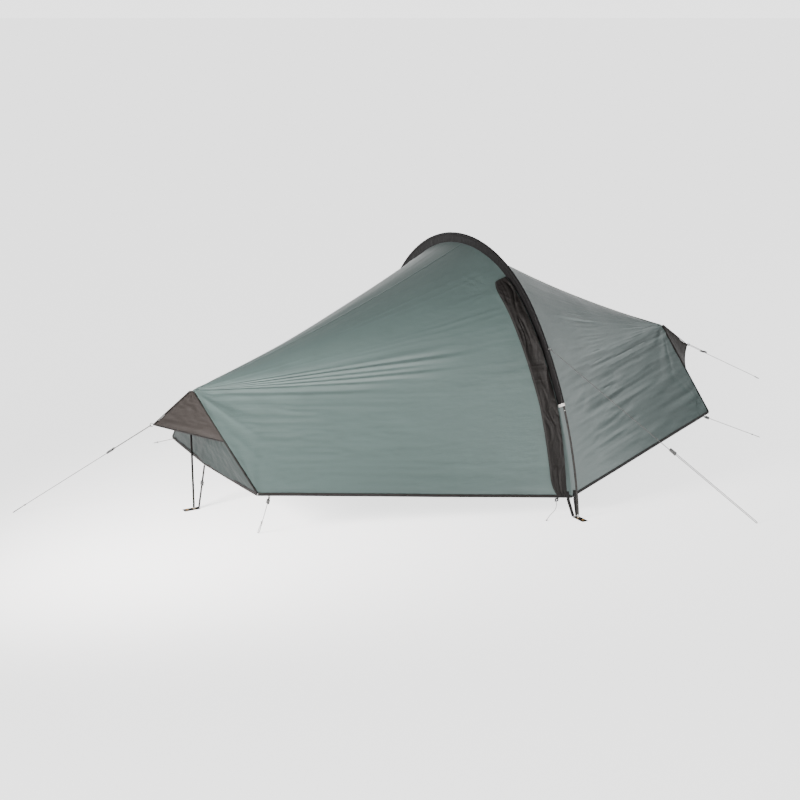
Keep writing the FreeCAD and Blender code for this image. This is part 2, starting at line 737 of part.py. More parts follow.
def strut_caps():
    """The plug and pin at each strut's foot, and the round cap that bears on the apex."""
    solids = []
    for end in (LEFT, RIGHT):
        foot = V(end * (HALF_LENGTH + STRUT_OUT), 0, STRUT_FOOT_Z)
        solids.append(pole_tip(foot, V(0, 0, -1), STRUT_BORE_R, STRUT_R))
        top = V(foot.x, 0, STRUT_TOP_Z)
        plug = Part.makeCylinder(STRUT_BORE_R - 0.05, 12.5, top - V(0, 0, 12), Z_AXIS)
        head = Part.makeCylinder(STRUT_R + 1.2, 5.0, top + V(0, 0, 0.05), Z_AXIS)
        dome = Part.makeSphere(STRUT_R + 1.2, top + V(0, 0, 5.05))
        solids.append(plug.fuse([head, dome]).removeSplitter())
    return solids


# --- Hem binding --------------------------------------------------------------------------------------


def bound_edge(points):
    """A narrow folded tape along the cloth's lower edge."""
    rows_out, rows_in = [], []
    for i, p in enumerate(points):
        along = points[min(i + 1, len(points) - 1)] - points[max(i - 1, 0)]
        out = V(along.y, -along.x, 0).normalize()
        if out.dot(V(p.x * 0.2, p.y, 0)) < 0:
            out = -out
        face = [p + out * (HEM_THICKNESS / 2), p - out * (HEM_THICKNESS / 2)]
        rows_out.append([face[0] - V(0, 0, HEM_GAP), face[0] - V(0, 0, HEM_HEIGHT)])
        rows_in.append([face[1] - V(0, 0, HEM_GAP), face[1] - V(0, 0, HEM_HEIGHT)])
    return skin(rows_out, rows_in)


def hem_run(end, side, first, last, count=7):
    return [fly_point(end, side * HEM_ANGLE, s) for s in spaced(first, last, count)]


def hem_binding():
    """The black tape along the fixed hems: the four walls and the two ends."""
    gap = FIXED_CLEAR / length_to(LEFT)
    runs = [hem_run(LEFT, FRONT, FOLD_FOOT_SHARE + gap, EDGE_SHARE)]
    runs += [hem_run(LEFT, FRONT, 0.001, zip_strip_edge(HEM_ANGLE), 3)]
    runs += [hem_run(LEFT, BACK, 0.001, EDGE_SHARE)]
    runs += [hem_run(RIGHT, side, 0.001, EDGE_SHARE) for side in (FRONT, BACK)]
    solids = [bound_edge(points) for points in runs]
    for end in (LEFT, RIGHT):
        row = end_row(end, 1.0, 9)
        rows_out = [[p - V(0, 0, HEM_GAP), p - V(0, 0, HEM_HEIGHT)] for p in row]
        shift = V(-end * HEM_THICKNESS, 0, 0)
        solids.append(skin(rows_out, [[p + shift for p in pair] for pair in rows_out]))
    return solids


def door_hem_binding():
    gap = DOOR_CLEAR / length_to(LEFT)
    return bound_edge(hem_run(LEFT, FRONT, door_edge(HEM_ANGLE), FOLD_FOOT_SHARE - gap))


# --- Feet: webbing, eyelets and buckles ---------------------------------------------------------------


def pin_spot(side):
    """Where the hoop's pin meets the ground."""
    foot, down = leg_end(side)
    return foot + down * ((foot.z - EYELET_HEIGHT / 2) / -down.z)


def ground_tab(spot, out):
    """A webbing tab on the ground, round two eyelets on a line along out."""
    ends = [spot - out * TAB_BEHIND, spot + out * TAB_AHEAD]
    half = V(-out.y, out.x, 0) * (TAB_WIDTH / 2)
    points = [ends[0] - half, ends[1] - half, ends[1] + half, ends[0] + half]
    points = [V(p.x, p.y, 0.7) for p in points]
    tab = Part.Face(Part.makePolygon(points + points[:1])).extrude(V(0, 0, WEBBING))
    for reach in (0.0, PEG_EYELET_OUT):
        hole = V(spot.x, spot.y, 0) + out * reach
        tab = tab.cut(Part.makeCylinder(EYELET_OUTER_R - 2.0, 6, hole, Z_AXIS))
    return tab


def foot_webbing(side):
    """The tab under the hoop's foot, with two straps up to the hem that make a V."""
    spot = pin_spot(side)
    out = V(0, side, 0)
    solids = [ground_tab(spot, out)]
    y_hem, z_hem = arc_point(side * HEM_ANGLE)
    for x in (-1, 1):
        top = V(HOOP_X + x * 17.0, y_hem - side * 1.0, z_hem - HEM_HEIGHT - 1.5)
        low = V(HOOP_X + x * 9.0, spot.y - side * (TAB_BEHIND - 1.0), 3.4)
        half = V(STRAP_WIDTH / 2, 0, 0)
        corners = [top - half, top + half, low + half, low - half]
        solids.append(flat_sheet(corners, WEBBING, lambda point: V(0, side, 0.2)))
    return solids


def strut_spot(end):
    return V(end * (HALF_LENGTH + STRUT_OUT), 0, 0)


def peg_eyelets():
    """Brass eyelets, each two flanges and a barrel: one for the pole's pin and one for the peg."""
    spots = [(pin_spot(side), V(0, side, 0)) for side in (FRONT, BACK)]
    spots += [(strut_spot(end), V(end, 0, 0)) for end in (LEFT, RIGHT)]
    rings = []
    for spot, out in spots:
        for reach in (0.0, PEG_EYELET_OUT):
            at = V(spot.x, spot.y, 0) + out * reach
            low = Part.makeCylinder(EYELET_OUTER_R, 0.6, at, Z_AXIS)
            barrel = Part.makeCylinder(EYELET_R + 1.0, EYELET_HEIGHT, at, Z_AXIS)
            high = Part.makeCylinder(EYELET_OUTER_R, 0.6, at + V(0, 0, EYELET_HEIGHT - 0.6), Z_AXIS)
            bore = Part.makeCylinder(EYELET_R, EYELET_HEIGHT, at, Z_AXIS)
            rings.append(low.fuse([barrel, high]).removeSplitter().cut(bore))
    return rings


def strap_ends(end):
    """The top and foot of the strap that holds an end's hem down to its strut."""
    top = hem_middle(end) + V(end * (END_STAND_OFF + 1.0), 0, -HEM_HEIGHT - 1.5)
    return top, strut_spot(end) + V(-end * (TAB_BEHIND - 1.0), 0, 3.4)


def strut_webbing(end):
    """The tab under a strut, and the strap from it to the hem's middle."""
    top, foot = strap_ends(end)
    half = V(0, STRAP_WIDTH / 2, 0)
    corners = [top - half, top + half, foot + half, foot - half]
    return [ground_tab(strut_spot(end), V(end, 0, 0)), flat_sheet(corners, WEBBING, end_out(end))]


def strap_buckle(end):
    """A ladder lock round the strap: a frame with a slot that the strap runs through."""
    top, foot = strap_ends(end)
    along = (foot - top).normalize()
    out = V(0, 1, 0).cross(along).normalize()
    if out.x * end < 0:
        out = -out
    centre = top + (foot - top) * BUCKLE_SHARE - out * (WEBBING / 2)
    across, thick, high = BUCKLE
    frame = block(across, thick, high).cut(block(STRAP_WIDTH + 1.6, WEBBING + 1.0, high + 2))
    return placed(frame, centre, out, along)


def hem_corner(end, side):
    """The lower edge of the binding where the corner's webbing is sewn on."""
    return fly_point(end, side * HEM_ANGLE, CORNER_TAB_SHARE) - V(0, 0, HEM_HEIGHT + HEM_TO_TAB)


def corner_line(end, side):
    """The corner cord's start at the hem, its peg on the ground, and its direction."""
    start = hem_corner(end, side)
    out = CORNER_CORD_OUT[(end, side)]
    ground = V(start.x + out.x, start.y + out.y, CORD_LIFT)
    return start, ground, (ground - start).normalize()


def corner_tensioners():
    """At each hem corner, a webbing tab and the small plastic tensioner that grips the cord."""
    solids = []
    for end in (LEFT, RIGHT):
        for side in (FRONT, BACK):
            start, ground, along = corner_line(end, side)
            out = across_of(along)
            wide, thick, high = TENSIONER
            tab = block(CORNER_TAB_WIDTH, WEBBING, CORNER_TAB, V(0, 0, CORNER_TAB / 2))
            body = block(wide, thick, high, V(0, 0, CORNER_TAB + high / 2))
            bore = Part.makeCylinder(CORD_R + CORD_BORE_CLEAR, high, V(0, 0, CORNER_TAB + 4), Z_AXIS)
            piece = placed(tab.fuse(body).removeSplitter().cut(bore), start, out, along)
            above = block(60.0, 60.0, 20.0, start + V(0, 0, 10.0))
            solids.append(piece.cut(above))
    return solids


def across_of(along):
    """The level direction square to a line."""
    return V(-along.y, along.x, 0).normalize()


# --- Guylines and corner cords ------------------------------------------------------------------------


def cord_tube(route, radius=CORD_R):
    """A round tube along straight runs joined by tangent arcs as large as the runs allow."""
    edges = []
    at = route[0]
    for before, point, after in zip(route[:-2], route[1:-1], route[2:]):
        come, go = point - before, after - point
        back = 0.45 * min(come.Length, go.Length)
        come.normalize()
        go.normalize()
        start, stop = point - come * back, point + go * back
        turn = come.getAngle(go)
        bend = back / tan(turn / 2)
        middle = point + (go - come).normalize() * (bend / cos(turn / 2) - bend)
        edges.append(Part.LineSegment(at, start).toShape())
        edges.append(Part.Arc(start, middle, stop).toShape())
        at = stop
    edges.append(Part.LineSegment(at, route[-1]).toShape())
    path = Part.Wire(edges)
    ring = Part.Wire(Part.makeCircle(radius, route[0], route[1] - route[0]))
    tube = path.makePipeShell([ring], True, False)
    wanted = pi * radius**2 * path.Length
    print("  cord", round(path.Length, 1), "mm, volume share", round(tube.Volume / wanted, 4))
    return tube


def hoop_ring(side):
    """The loop on the sleeve that a side guyline is tied to."""
    y, z = arc_point(side * GUY_RING_ANGLE, -7.0)
    return V(HOOP_X, y, z)


def end_ring(end):
    return hood_tip(end) + V(end * 9.0, 0, -1.0)


def side_guy_line():
    """The front guyline's ring, its peg on the ground, and its direction."""
    start = hoop_ring(FRONT)
    ground = V(HOOP_X, 0, 0) + SIDE_GUY_OUT
    return start, ground, (ground - start).normalize()


def side_slider_spot():
    start, ground, along = side_guy_line()
    return start + along * (SIDE_SLIDER_SHARE * (ground - start).Length)


def side_guy_route():
    """From the hoop's ring straight to the peg, round it, and back to the slider."""
    start, ground, along = side_guy_line()
    across = across_of(along) * STRAND_GAP
    return [start + along * 8.2, ground, ground + across, side_slider_spot() + across + along * 2.0]


def end_guy_line(end):
    start = end_ring(end)
    ground = GROUND_LEFT if end == LEFT else GROUND_RIGHT
    return start, ground, (ground - start).normalize()


def end_guy_route(end):
    """From the slider up through the hood's ring, down to the peg, round it, and back to a knot."""
    start, ground, along = end_guy_line(end)
    across = across_of(along)
    half = across * (STRAND_GAP / 2)
    ring = start + along * 2.5
    slider = start + along * END_SLIDER_REACH
    peg = ground + half
    return [
        slider - half + along * 4.0,
        ring - half,
        ring + half,
        peg,
        peg + across * LOOP_GAP,
        peg - along * LOOP_LENGTH + across * LOOP_SIDE,
    ]


def slider_body(centre, along, across):
    """A three-cornered plastic line slider."""
    up = across.cross(along).normalize()
    points = [(SLIDER_NOSE, -SLIDER_NOSE_HALF), (SLIDER_NOSE, SLIDER_NOSE_HALF)]
    points += [(-SLIDER_TAIL, SLIDER_TAIL_HALF), (-SLIDER_TAIL, -SLIDER_TAIL_HALF)]
    ring = [centre + along * a + across * b - up * (SLIDER_THICK / 2) for a, b in points]
    return Part.Face(Part.makePolygon(ring + ring[:1])).extrude(up * SLIDER_THICK)


def drilled(body, point, along):
    """The body with a cord's hole along a line."""
    return body.cut(Part.makeCylinder(CORD_R + CORD_BORE_CLEAR, 90, point - along * 45, along))


def side_slider():
    start, ground, along = side_guy_line()
    across = across_of(along)
    at = side_slider_spot()
    body = slider_body(at + across * (STRAND_GAP / 2), -along, across)
    return drilled(drilled(body, at, along), at + across * STRAND_GAP, along)


def end_slider(end):
    start, ground, along = end_guy_line(end)
    half = across_of(along) * (STRAND_GAP / 2)
    at = start + along * END_SLIDER_REACH
    body = slider_body(at, along, across_of(along))
    return drilled(drilled(body, at - half, along), at + half, along)


def guy_rings():
    """The rings that hold the guylines: two on the hoop's sleeve, one on each hood's tip."""
    rings = [Part.makeTorus(END_RING_R, RING_WIRE_R, end_ring(end), V(0, 1, 0)) for end in (LEFT, RIGHT)]
    rings += [Part.makeTorus(HOOP_RING_R, RING_WIRE_R, hoop_ring(side), X_AXIS) for side in (FRONT, BACK)]
    return rings


def corner_cord_route(end, side):
    """Out of the tensioner straight to the peg, round it, and back to a knot."""
    start, ground, along = corner_line(end, side)
    across = across_of(along)
    knot = ground - along * min(LOOP_LENGTH, 0.3 * (ground - start).Length)
    first = start + along * (CORNER_TAB + 6.0)
    return [first, ground, ground + across * LOOP_GAP, knot + across * LOOP_SIDE]


def door_hook_spot():
    """The hem beside the zip, where the door is hooked down."""
    return fly_point(LEFT, -HEM_ANGLE, HOOK_SHARE) - V(0, 0, HEM_HEIGHT + HEM_TO_TAB)


def door_hook():
    """A plastic hook under the door's hem."""
    at = door_hook_spot()
    across, thick, high = HOOK
    slot_across, slot_high = HOOK_SLOT
    plate = block(across, thick, high, at - V(0, 0, high / 2))
    return plate.cut(block(slot_across, thick + 2, slot_high, at - V(0, 0, high / 2 + 1)))


def door_cord_route():
    """A short loose end of cord that hangs from the hook and lies on the ground."""
    at = door_hook_spot() - V(0, 0, HOOK[2])
    steps = [(0, 0, 0), (-1, -3, -13), (-8, -8, -25), (-19, -12, -34), (-33, -14, -42), (-49, -18, -49)]
    return [at + V(*step) for step in steps] + [V(at.x - 66.0, at.y - 25.0, DOOR_CORD_R + 0.3)]


# --- Sleeping compartment -----------------------------------------------------------------------------


def front_y(z):
    """The leaning front wall's Y at a height."""
    return TRAY_OUTLINE[1][1] + FRONT_LEAN * (z - TRAY_HEIGHT)


def tray_point(index, z=TRAY_HEIGHT + 0.6):
    x, y = TRAY_OUTLINE[index]
    return V(x, y, z)


FRONT_NORMAL = V(0, -1, FRONT_LEAN).normalize()
FRONT_LEFT = V(-455, front_y(560), 560)
FRONT_TOP = V(HOOP_X, front_y(850), 850)
FRONT_RIGHT = V(1000, front_y(340), 340)


def inner_out(point):
    return point - V(40, 120, 300)


def wall_sheet(*corners):
    """A sheet of the compartment's cloth between three or four points, clear of its neighbours."""
    moved = []
    for i, p in enumerate(corners):
        before, after = corners[i - 1], corners[(i + 1) % len(corners)]
        moved.append(p + (before - p).normalize() + (after - p).normalize())
    if len(moved) == 4:
        a, b, c, d = moved
        return cloth_sheet([[a, b], [d, c]], INNER_CLOTH, INNER_CLOTH, inner_out)
    normal = (moved[1] - moved[0]).cross(moved[2] - moved[0]).normalize()
    if normal.dot(inner_out(moved[0])) < 0:
        normal = -normal
    return Part.Face(Part.makePolygon(moved + moved[:1])).extrude(normal * INNER_CLOTH)


def inner_tray():
    """The waterproof tray: a floor with upright sides."""
    floor = [tray_point(i, 0.0) for i in range(len(TRAY_OUTLINE))]
    floor_face = Part.Face(Part.makePolygon(floor + floor[:1]))
    low = TRAY_CLOTH
    inside = floor_face.makeOffset2D(-TRAY_CLOTH)
    walls = floor_face.cut(inside).extrude(V(0, 0, TRAY_HEIGHT))
    return floor_face.extrude(V(0, 0, low)).fuse(walls).removeSplitter()


def front_face(corners):
    """A flat outline on the front wall, given as (x, z) pairs, made into a sheet."""
    points = [V(x, front_y(z), z) for x, z in corners]
    return Part.Face(Part.makePolygon(points + points[:1])).extrude(FRONT_NORMAL * INNER_CLOTH)


def rectangle(x_low, x_high, z_low, z_high):
    return [(x_low, z_low), (x_high, z_low), (x_high, z_high), (x_low, z_high)]


def inner_front_wall():
    """The front wall, with the door's opening cut in it."""
    outline = [(-453.0, TRAY_HEIGHT + 1.6), (1008.0, TRAY_HEIGHT + 1.6)]
    outline += [(p.x, p.z - 1.5) for p in (FRONT_RIGHT, FRONT_TOP, FRONT_LEFT)]
    return front_face(outline).cut(front_face(rectangle(*INNER_DOOR_X, *INNER_DOOR_Z)))


def inner_door():
    """The door's panel, hinged at its left edge, with the zip's gap at its right."""
    left, right = INNER_DOOR_X
    low, high = INNER_DOOR_Z
    gap = INNER_DOOR_GAP
    return front_face(rectangle(left + gap, right - INNER_ZIP_GAP, low + gap, high - gap))


def inner_roof():
    return [
        wall_sheet(FRONT_LEFT, LEFT_PEAK, TOP_BACK, FRONT_TOP),
        wall_sheet(FRONT_TOP, TOP_BACK, RIGHT_PEAK, FRONT_RIGHT),
    ]


def inner_back_wall():
    return [
        wall_sheet(tray_point(5), tray_point(4), SHOULDER, LEFT_PEAK),
        wall_sheet(tray_point(4), tray_point(3), RIGHT_PEAK, SHOULDER),
        wall_sheet(LEFT_PEAK, SHOULDER, TOP_BACK),
        wall_sheet(SHOULDER, RIGHT_PEAK, TOP_BACK),
    ]


def inner_end_walls():
    return [
        wall_sheet(tray_point(0), tray_point(5), LEFT_PEAK),
        wall_sheet(tray_point(1), tray_point(0), LEFT_PEAK, FRONT_LEFT),
        wall_sheet(tray_point(2), tray_point(3), RIGHT_PEAK, FRONT_RIGHT),
    ]


def inner_zip_place():
    """The inner slider's middle at the foot of the door's closing edge, and its directions."""
    z = INNER_DOOR_Z[0] + 16.0
    middle = V(INNER_DOOR_X[1] - INNER_ZIP_GAP / 2, front_y(z), z) + FRONT_NORMAL * (INNER_CLOTH / 2)
    return middle, FRONT_NORMAL, V(0, -FRONT_LEAN, -1).normalize()


def inner_hangers():
    """Elastic loops that hang the compartment from the flysheet."""
    y, z = arc_point(radians(-9.0), SEAM_INSET + 8.0)
    y_back, z_back = arc_point(radians(16.0), SEAM_INSET + 8.0)
    pairs = [
        (FRONT_TOP + V(0, 0, 3), V(HOOP_X, y, z)),
        (TOP_BACK + V(0, 0, 3), V(HOOP_X, y_back, z_back)),
        (LEFT_PEAK + V(-3, 0, 3), apex(LEFT) + V(30, 0, -32)),
        (RIGHT_PEAK + V(3, 0, 3), apex(RIGHT) + V(-30, 0, -32)),
    ]
    return [Part.makeCylinder(1.5, (top - low).Length, low, top - low) for low, top in pairs]


def door_toggles():
    """Two toggles inside the flysheet, beside the fold, that hold the rolled door."""
    solids = []
    for angle in (radians(-50.0), radians(-62.0)):
        at = fly_point(LEFT, angle, fold_share(angle, FIXED_CLEAR + 16.0)) - FOLD_OUT * 12.0
        solids.append(Part.makeCylinder(3.0, 26.0, at - FOLD_ALONG * 13.0, FOLD_ALONG))
    return solids


# --- Export -------------------------------------------------------------------------------------------


def save(name, shapes):
    """Writes one node as parts/NAME.step."""
    listed = shapes if isinstance(shapes, list) else [shapes]
    solids = [solid for shape in listed for solid in shape.Solids]
    shape = solids[0] if len(solids) == 1 else Part.makeCompound(solids)
    state = "valid" if shape.isValid() else "INVALID"
    print(name, len(solids), "solids", round(shape.Volume / 1000, 1), "cm3", state)
    shape.exportStep("parts/" + name + ".step")


def main():
    os.makedirs("parts", exist_ok=True)
    save("hoop_pole_sections", hoop_pole_sections())
    save("hoop_pole_ferrules", hoop_pole_ferrules())
    save("hoop_shock_cord", hoop_shock_cord())
    save("hoop_pole_tips", hoop_pole_tips())
    save("pole_sleeve", pole_sleeve())
    save("sleeve_end_bands", sleeve_end_bands())
    save("strut_caps", strut_caps())
    save("fly_panel_left_front", fly_panel_left_front())
    save("fly_panel_left_back", fly_panel(LEFT, BACK))
    save("fly_panel_right_front", fly_panel(RIGHT, FRONT))
    save("fly_panel_right_back", fly_panel(RIGHT, BACK))
    save("fly_door_panel", fly_door_panel())
    save("storm_flap", storm_flap())
    save("fly_zip_tape_fixed", fly_zip_tape_fixed())
    save("fly_zip_tape_door", fly_zip_tape_door())
    save("fly_zip_slider", zip_slider(fly_zip_place()))
    save("fly_zip_pull", fly_zip_pull())
    for end, name in ((LEFT, "left"), (RIGHT, "right")):
        save(name + "_strut", strut(end))
        save(name + "_end_panel", end_panel(end))
        save(name + "_vent_mesh", vent_mesh(end))
        save(name + "_hood", hood(end))
        save(name + "_strut_webbing", strut_webbing(end))
        save(name + "_strap_buckle", strap_buckle(end))
        save("guy_line_" + name, cord_tube(end_guy_route(end)))
        save("guy_slider_" + name, end_slider(end))
    save("guy_line_front", cord_tube(side_guy_route()))
    save("guy_slider_front", side_slider())
    save("corner_cord_left_front", cord_tube(corner_cord_route(LEFT, FRONT)))
    save("corner_cord_left_back", cord_tube(corner_cord_route(LEFT, BACK)))
    save("corner_cord_right_front", cord_tube(corner_cord_route(RIGHT, FRONT)))
    save("door_cord", cord_tube(door_cord_route(), DOOR_CORD_R))
    save("door_hook", door_hook())
    save("hem_binding", hem_binding())
    save("door_hem_binding", door_hem_binding())
    save("foot_webbing_front", foot_webbing(FRONT))
    save("foot_webbing_back", foot_webbing(BACK))
    save("peg_eyelets", peg_eyelets())
    save("corner_tensioners", corner_tensioners())
    save("guy_rings", guy_rings())
    save("inner_tray", inner_tray())
    save("inner_front_wall", inner_front_wall())
    save("inner_door", inner_door())
    save("inner_roof", inner_roof())
    save("inner_back_wall", inner_back_wall())
    save("inner_end_walls", inner_end_walls())
    save("inner_zip_slider", zip_slider(inner_zip_place()))
    save("inner_zip_pull", inner_zip_pull())
    save("inner_hangers", inner_hangers())
    save("door_toggles", door_toggles())


main()
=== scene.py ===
import json
import math
import bpy
import numpy as np
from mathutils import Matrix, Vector


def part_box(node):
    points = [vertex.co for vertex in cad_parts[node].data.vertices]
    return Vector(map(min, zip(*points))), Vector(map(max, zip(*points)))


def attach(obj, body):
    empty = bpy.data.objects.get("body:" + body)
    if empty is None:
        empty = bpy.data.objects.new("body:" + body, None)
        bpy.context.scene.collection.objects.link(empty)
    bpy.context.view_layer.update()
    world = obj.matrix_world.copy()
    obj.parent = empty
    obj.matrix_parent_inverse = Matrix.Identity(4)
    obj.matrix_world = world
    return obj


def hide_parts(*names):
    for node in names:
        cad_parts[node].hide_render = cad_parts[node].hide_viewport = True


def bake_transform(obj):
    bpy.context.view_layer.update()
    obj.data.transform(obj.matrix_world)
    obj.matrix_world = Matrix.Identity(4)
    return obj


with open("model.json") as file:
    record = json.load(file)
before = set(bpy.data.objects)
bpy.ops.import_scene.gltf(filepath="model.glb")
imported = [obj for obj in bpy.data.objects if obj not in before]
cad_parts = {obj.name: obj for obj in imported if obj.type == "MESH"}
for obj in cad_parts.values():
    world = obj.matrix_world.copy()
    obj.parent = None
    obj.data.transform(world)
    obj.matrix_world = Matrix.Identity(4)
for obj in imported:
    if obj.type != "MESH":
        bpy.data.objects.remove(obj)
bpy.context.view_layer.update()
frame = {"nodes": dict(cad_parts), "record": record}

# A one-person single-hoop tent, in metres, in the CAD model's frame: +Z up, ground at Z = 0, X along the
# ridge, the door side at -Y. The cloth follows the CAD surfaces, with the folds that pitching puts into it.

NODES = frame["nodes"]
FRONT, BACK = -1, 1
LEFT, RIGHT = -1, 1
SIDES = {FRONT: "front", BACK: "back"}
ENDS = {LEFT: "left", RIGHT: "right"}
WITHOUT_DOOR = [(LEFT, BACK), (RIGHT, FRONT), (RIGHT, BACK)]


def quarter(end, side):
    return ENDS[end] + "_" + SIDES[side]


# The hoop's arch and the flysheet, as the CAD model has them.
HOOP_X = sum(corner.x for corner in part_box("hoop_pole_sections")) / 2
HOOP_TOP = 1.050
CROWN_RADIUS = 0.735
LEG_RADIUS = 1.445
CROWN_HALF_ANGLE = math.radians(49.3)
POLE_INSET = 0.006
SEAM_INSET = 0.043
HALF_LENGTH = 1.2335
APEX_Z = 0.509
CORNER_IN = 0.077
CORNER_Y = 0.446
CORNER_Z = 0.185
HEM_MIDDLE_IN = 0.043
HEM_MIDDLE_Z = 0.193
HEM_Z_AT_HOOP = 0.082
KNEE_Z = 0.565
RIDGE_SAG = 0.030
DOOR_TOP_ANGLE = math.radians(28.6)
HOOD_OUT = 0.172
HOOD_TIP_Z = 0.390
SLEEVE_END_Z = 0.455
ZIP_X = 0.030
ZIP_GAP = 0.002
ZIP_INSET = 0.034
HEM_HEIGHT = 0.009
CLOTH = 0.0012
SEAM_SHARE = 0.0006
GRID = 0.0075
CROWN_Z = HOOP_TOP - CROWN_RADIUS
LEG_Y = (CROWN_RADIUS - LEG_RADIUS) * math.sin(CROWN_HALF_ANGLE)
LEG_Z = CROWN_Z + (CROWN_RADIUS - LEG_RADIUS) * math.cos(CROWN_HALF_ANGLE)


# --- Small helpers on arrays of points ---


def vec(*numbers):
    return np.array(numbers, float)


def unit(a):
    return a / np.maximum(np.linalg.norm(a, axis=-1, keepdims=True), 1e-12)


def dot(a, b):
    return (a * b).sum(-1)


def smooth(x, low, high):
    """0 below low, 1 above high, and a smooth step between them."""
    t = np.clip((x - low) / (high - low), 0, 1)
    return t * t * (3 - 2 * t)


def window(x, low, high, ramp_in, ramp_out):
    """1 between low and high, falling to 0 over the two ramps."""
    return smooth(x, low - ramp_in, low) * (1 - smooth(x, high, high + ramp_out))


def noise(x, y, seed):
    """Smooth noise from -1 to 1 with features about 1 across."""
    table = np.random.RandomState(seed).uniform(-1, 1, (64, 64))
    x, y = np.broadcast_arrays(np.asarray(x, float), np.asarray(y, float))
    i, j = np.floor(x).astype(int), np.floor(y).astype(int)
    u, v = x - i, y - j
    u, v = u * u * (3 - 2 * u), v * v * (3 - 2 * v)
    low = table[i % 64, j % 64] * (1 - u) + table[(i + 1) % 64, j % 64] * u
    high = table[i % 64, (j + 1) % 64] * (1 - u) + table[(i + 1) % 64, (j + 1) % 64] * u
    return low * (1 - v) + high * v


def creases(x, y, seed):
    """Noise drawn into narrow crests with wider hollows between them, from -1 to 1."""
    soft = noise(x, y, seed)
    crest = 1 - 2.6 * np.abs(noise(x * 1.3 + 7.7, y, seed + 1))
    return 0.5 * soft + 0.5 * np.maximum(crest, -0.6)


# --- The hoop's arc and the flysheet's surface ---


def arc_point(angle, inset=SEAM_INSET):
    """(y, z) on the arch at a normal angle from the vertical, below its outside by inset."""
    a = np.abs(angle)
    on_crown = a <= CROWN_HALF_ANGLE
    y = np.where(on_crown, (CROWN_RADIUS - inset) * np.sin(a), LEG_Y + (LEG_RADIUS - inset) * np.sin(a))
    z = np.where(on_crown, CROWN_Z + (CROWN_RADIUS - inset) * np.cos(a),
                 LEG_Z + (LEG_RADIUS - inset) * np.cos(a))
    return np.where(np.asarray(angle) < 0, -y, y), z


def on_arch(angle, inset, beside=0.0):
    """Points of the arch, beside metres along X from its middle plane."""
    y, z = arc_point(angle, inset)
    return np.stack([np.broadcast_to(HOOP_X + beside, y.shape), y, z], -1)


def arc_length(angle):
    """The length along the seam from the ridge to a normal angle."""
    a = np.abs(angle)
    crown = (CROWN_RADIUS - SEAM_INSET) * np.minimum(a, CROWN_HALF_ANGLE)
    return crown + (LEG_RADIUS - SEAM_INSET) * np.maximum(0.0, a - CROWN_HALF_ANGLE)


def angle_at(length):
    """The normal angle at a length along the seam from the ridge."""
    crown = (CROWN_RADIUS - SEAM_INSET) * CROWN_HALF_ANGLE
    length = np.asarray(length, float)
    past = CROWN_HALF_ANGLE + (length - crown) / (LEG_RADIUS - SEAM_INSET)
    return np.where(length <= crown, length / (CROWN_RADIUS - SEAM_INSET), past)


def leg_angle_at(z, inset=SEAM_INSET):
    """The normal angle at which the arch's leg is at height z."""
    return math.acos((z - LEG_Z) / (LEG_RADIUS - inset))


HEM_ANGLE = leg_angle_at(HEM_Z_AT_HOOP)
KNEE_ANGLE = leg_angle_at(KNEE_Z)
SLEEVE_END_ANGLE = leg_angle_at(SLEEVE_END_Z, POLE_INSET)
HEM_DOWN = float(arc_length(HEM_ANGLE))
KNEE_DOWN = float(arc_length(KNEE_ANGLE))
DOOR_TOP_DOWN = float(arc_length(DOOR_TOP_ANGLE))


def apex(end):
    return vec(end * HALF_LENGTH, 0, APEX_Z)


def hem_corner(end, side):
    return vec(end * (HALF_LENGTH - CORNER_IN), side * CORNER_Y, CORNER_Z)


def hood_tip(end):
    return vec(end * (HALF_LENGTH + HOOD_OUT), 0, HOOD_TIP_Z)


def length_to(end):
    return abs(end * HALF_LENGTH - HOOP_X)


FIXED_EDGE_SHARE = (ZIP_X - ZIP_GAP) / length_to(LEFT)
DOOR_EDGE_SHARE = (ZIP_X + ZIP_GAP) / length_to(LEFT)


def edge_share(down):
    """How far down the end's edge, apex to corner, the cloth from this length down the hoop runs to."""
    return (np.maximum(0.0, down - KNEE_DOWN) / (HEM_DOWN - KNEE_DOWN)) ** 1.3


def fly_point(end, side, down, share):
    """Flysheet points: down metres from the ridge along the seam, share of the way to the end's edge."""
    down, share = np.broadcast_arrays(np.asarray(down, float), np.asarray(share, float))
    angle = angle_at(down)
    y, z = arc_point(angle)
    start = np.stack([np.full_like(y, HOOP_X), side * y, z], -1)
    edge = edge_share(down)[..., None]
    finish = apex(end) + (hem_corner(end, side) - apex(end)) * edge
    sag = RIDGE_SAG * 4 * share * (1 - share) * (1 - edge[..., 0])
    pull = np.stack([np.zeros_like(y), -side * np.sin(angle), -np.cos(angle)], -1)
    return start + (finish - start) * share[..., None] + pull * sag[..., None]


def over_the_fold(piece):
    """Bakes the piece's placement into its mesh."""
    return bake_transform(piece)


# --- Meshes ---

SHARP_ANGLE = math.radians(50)
EDGE_STEPS = 3  # faces round a strip's edge
LEAST_AREA_SHARE = 0.31  # of its flat rectangle, for a sheet that narrows to a point

# How thick each cloth is where it isn't CLOTH.
PATCH_CLOTH = 0.0006
SLEEVE_CLOTH = 0.0008
BAND_TAPE = 0.0009
WEB_CLOTH = 0.0007
END_CLOTH = 0.0010
VENT_NET = 0.0008
HOOD_CLOTH = 0.0011

# The flat strips, as width and thickness.
LEG_SEAM = 0.010, 0.0016
RIDGE_SEAM = 0.011, 0.0012
EDGE_TAPE = 0.0135, 0.0034
PIPING = 0.0100, 0.0056
HOOD_JOINT = 0.0110, 0.0050
HOOD_BINDING = 0.0068, 0.0028
HOOD_SEAM = 0.0090, 0.0014
HEM_LOOP = 0.0145, 0.0030
DOOR_FRAME = 0.0035, 0.0090
ZIP_TAPE = 0.0130, 0.0010


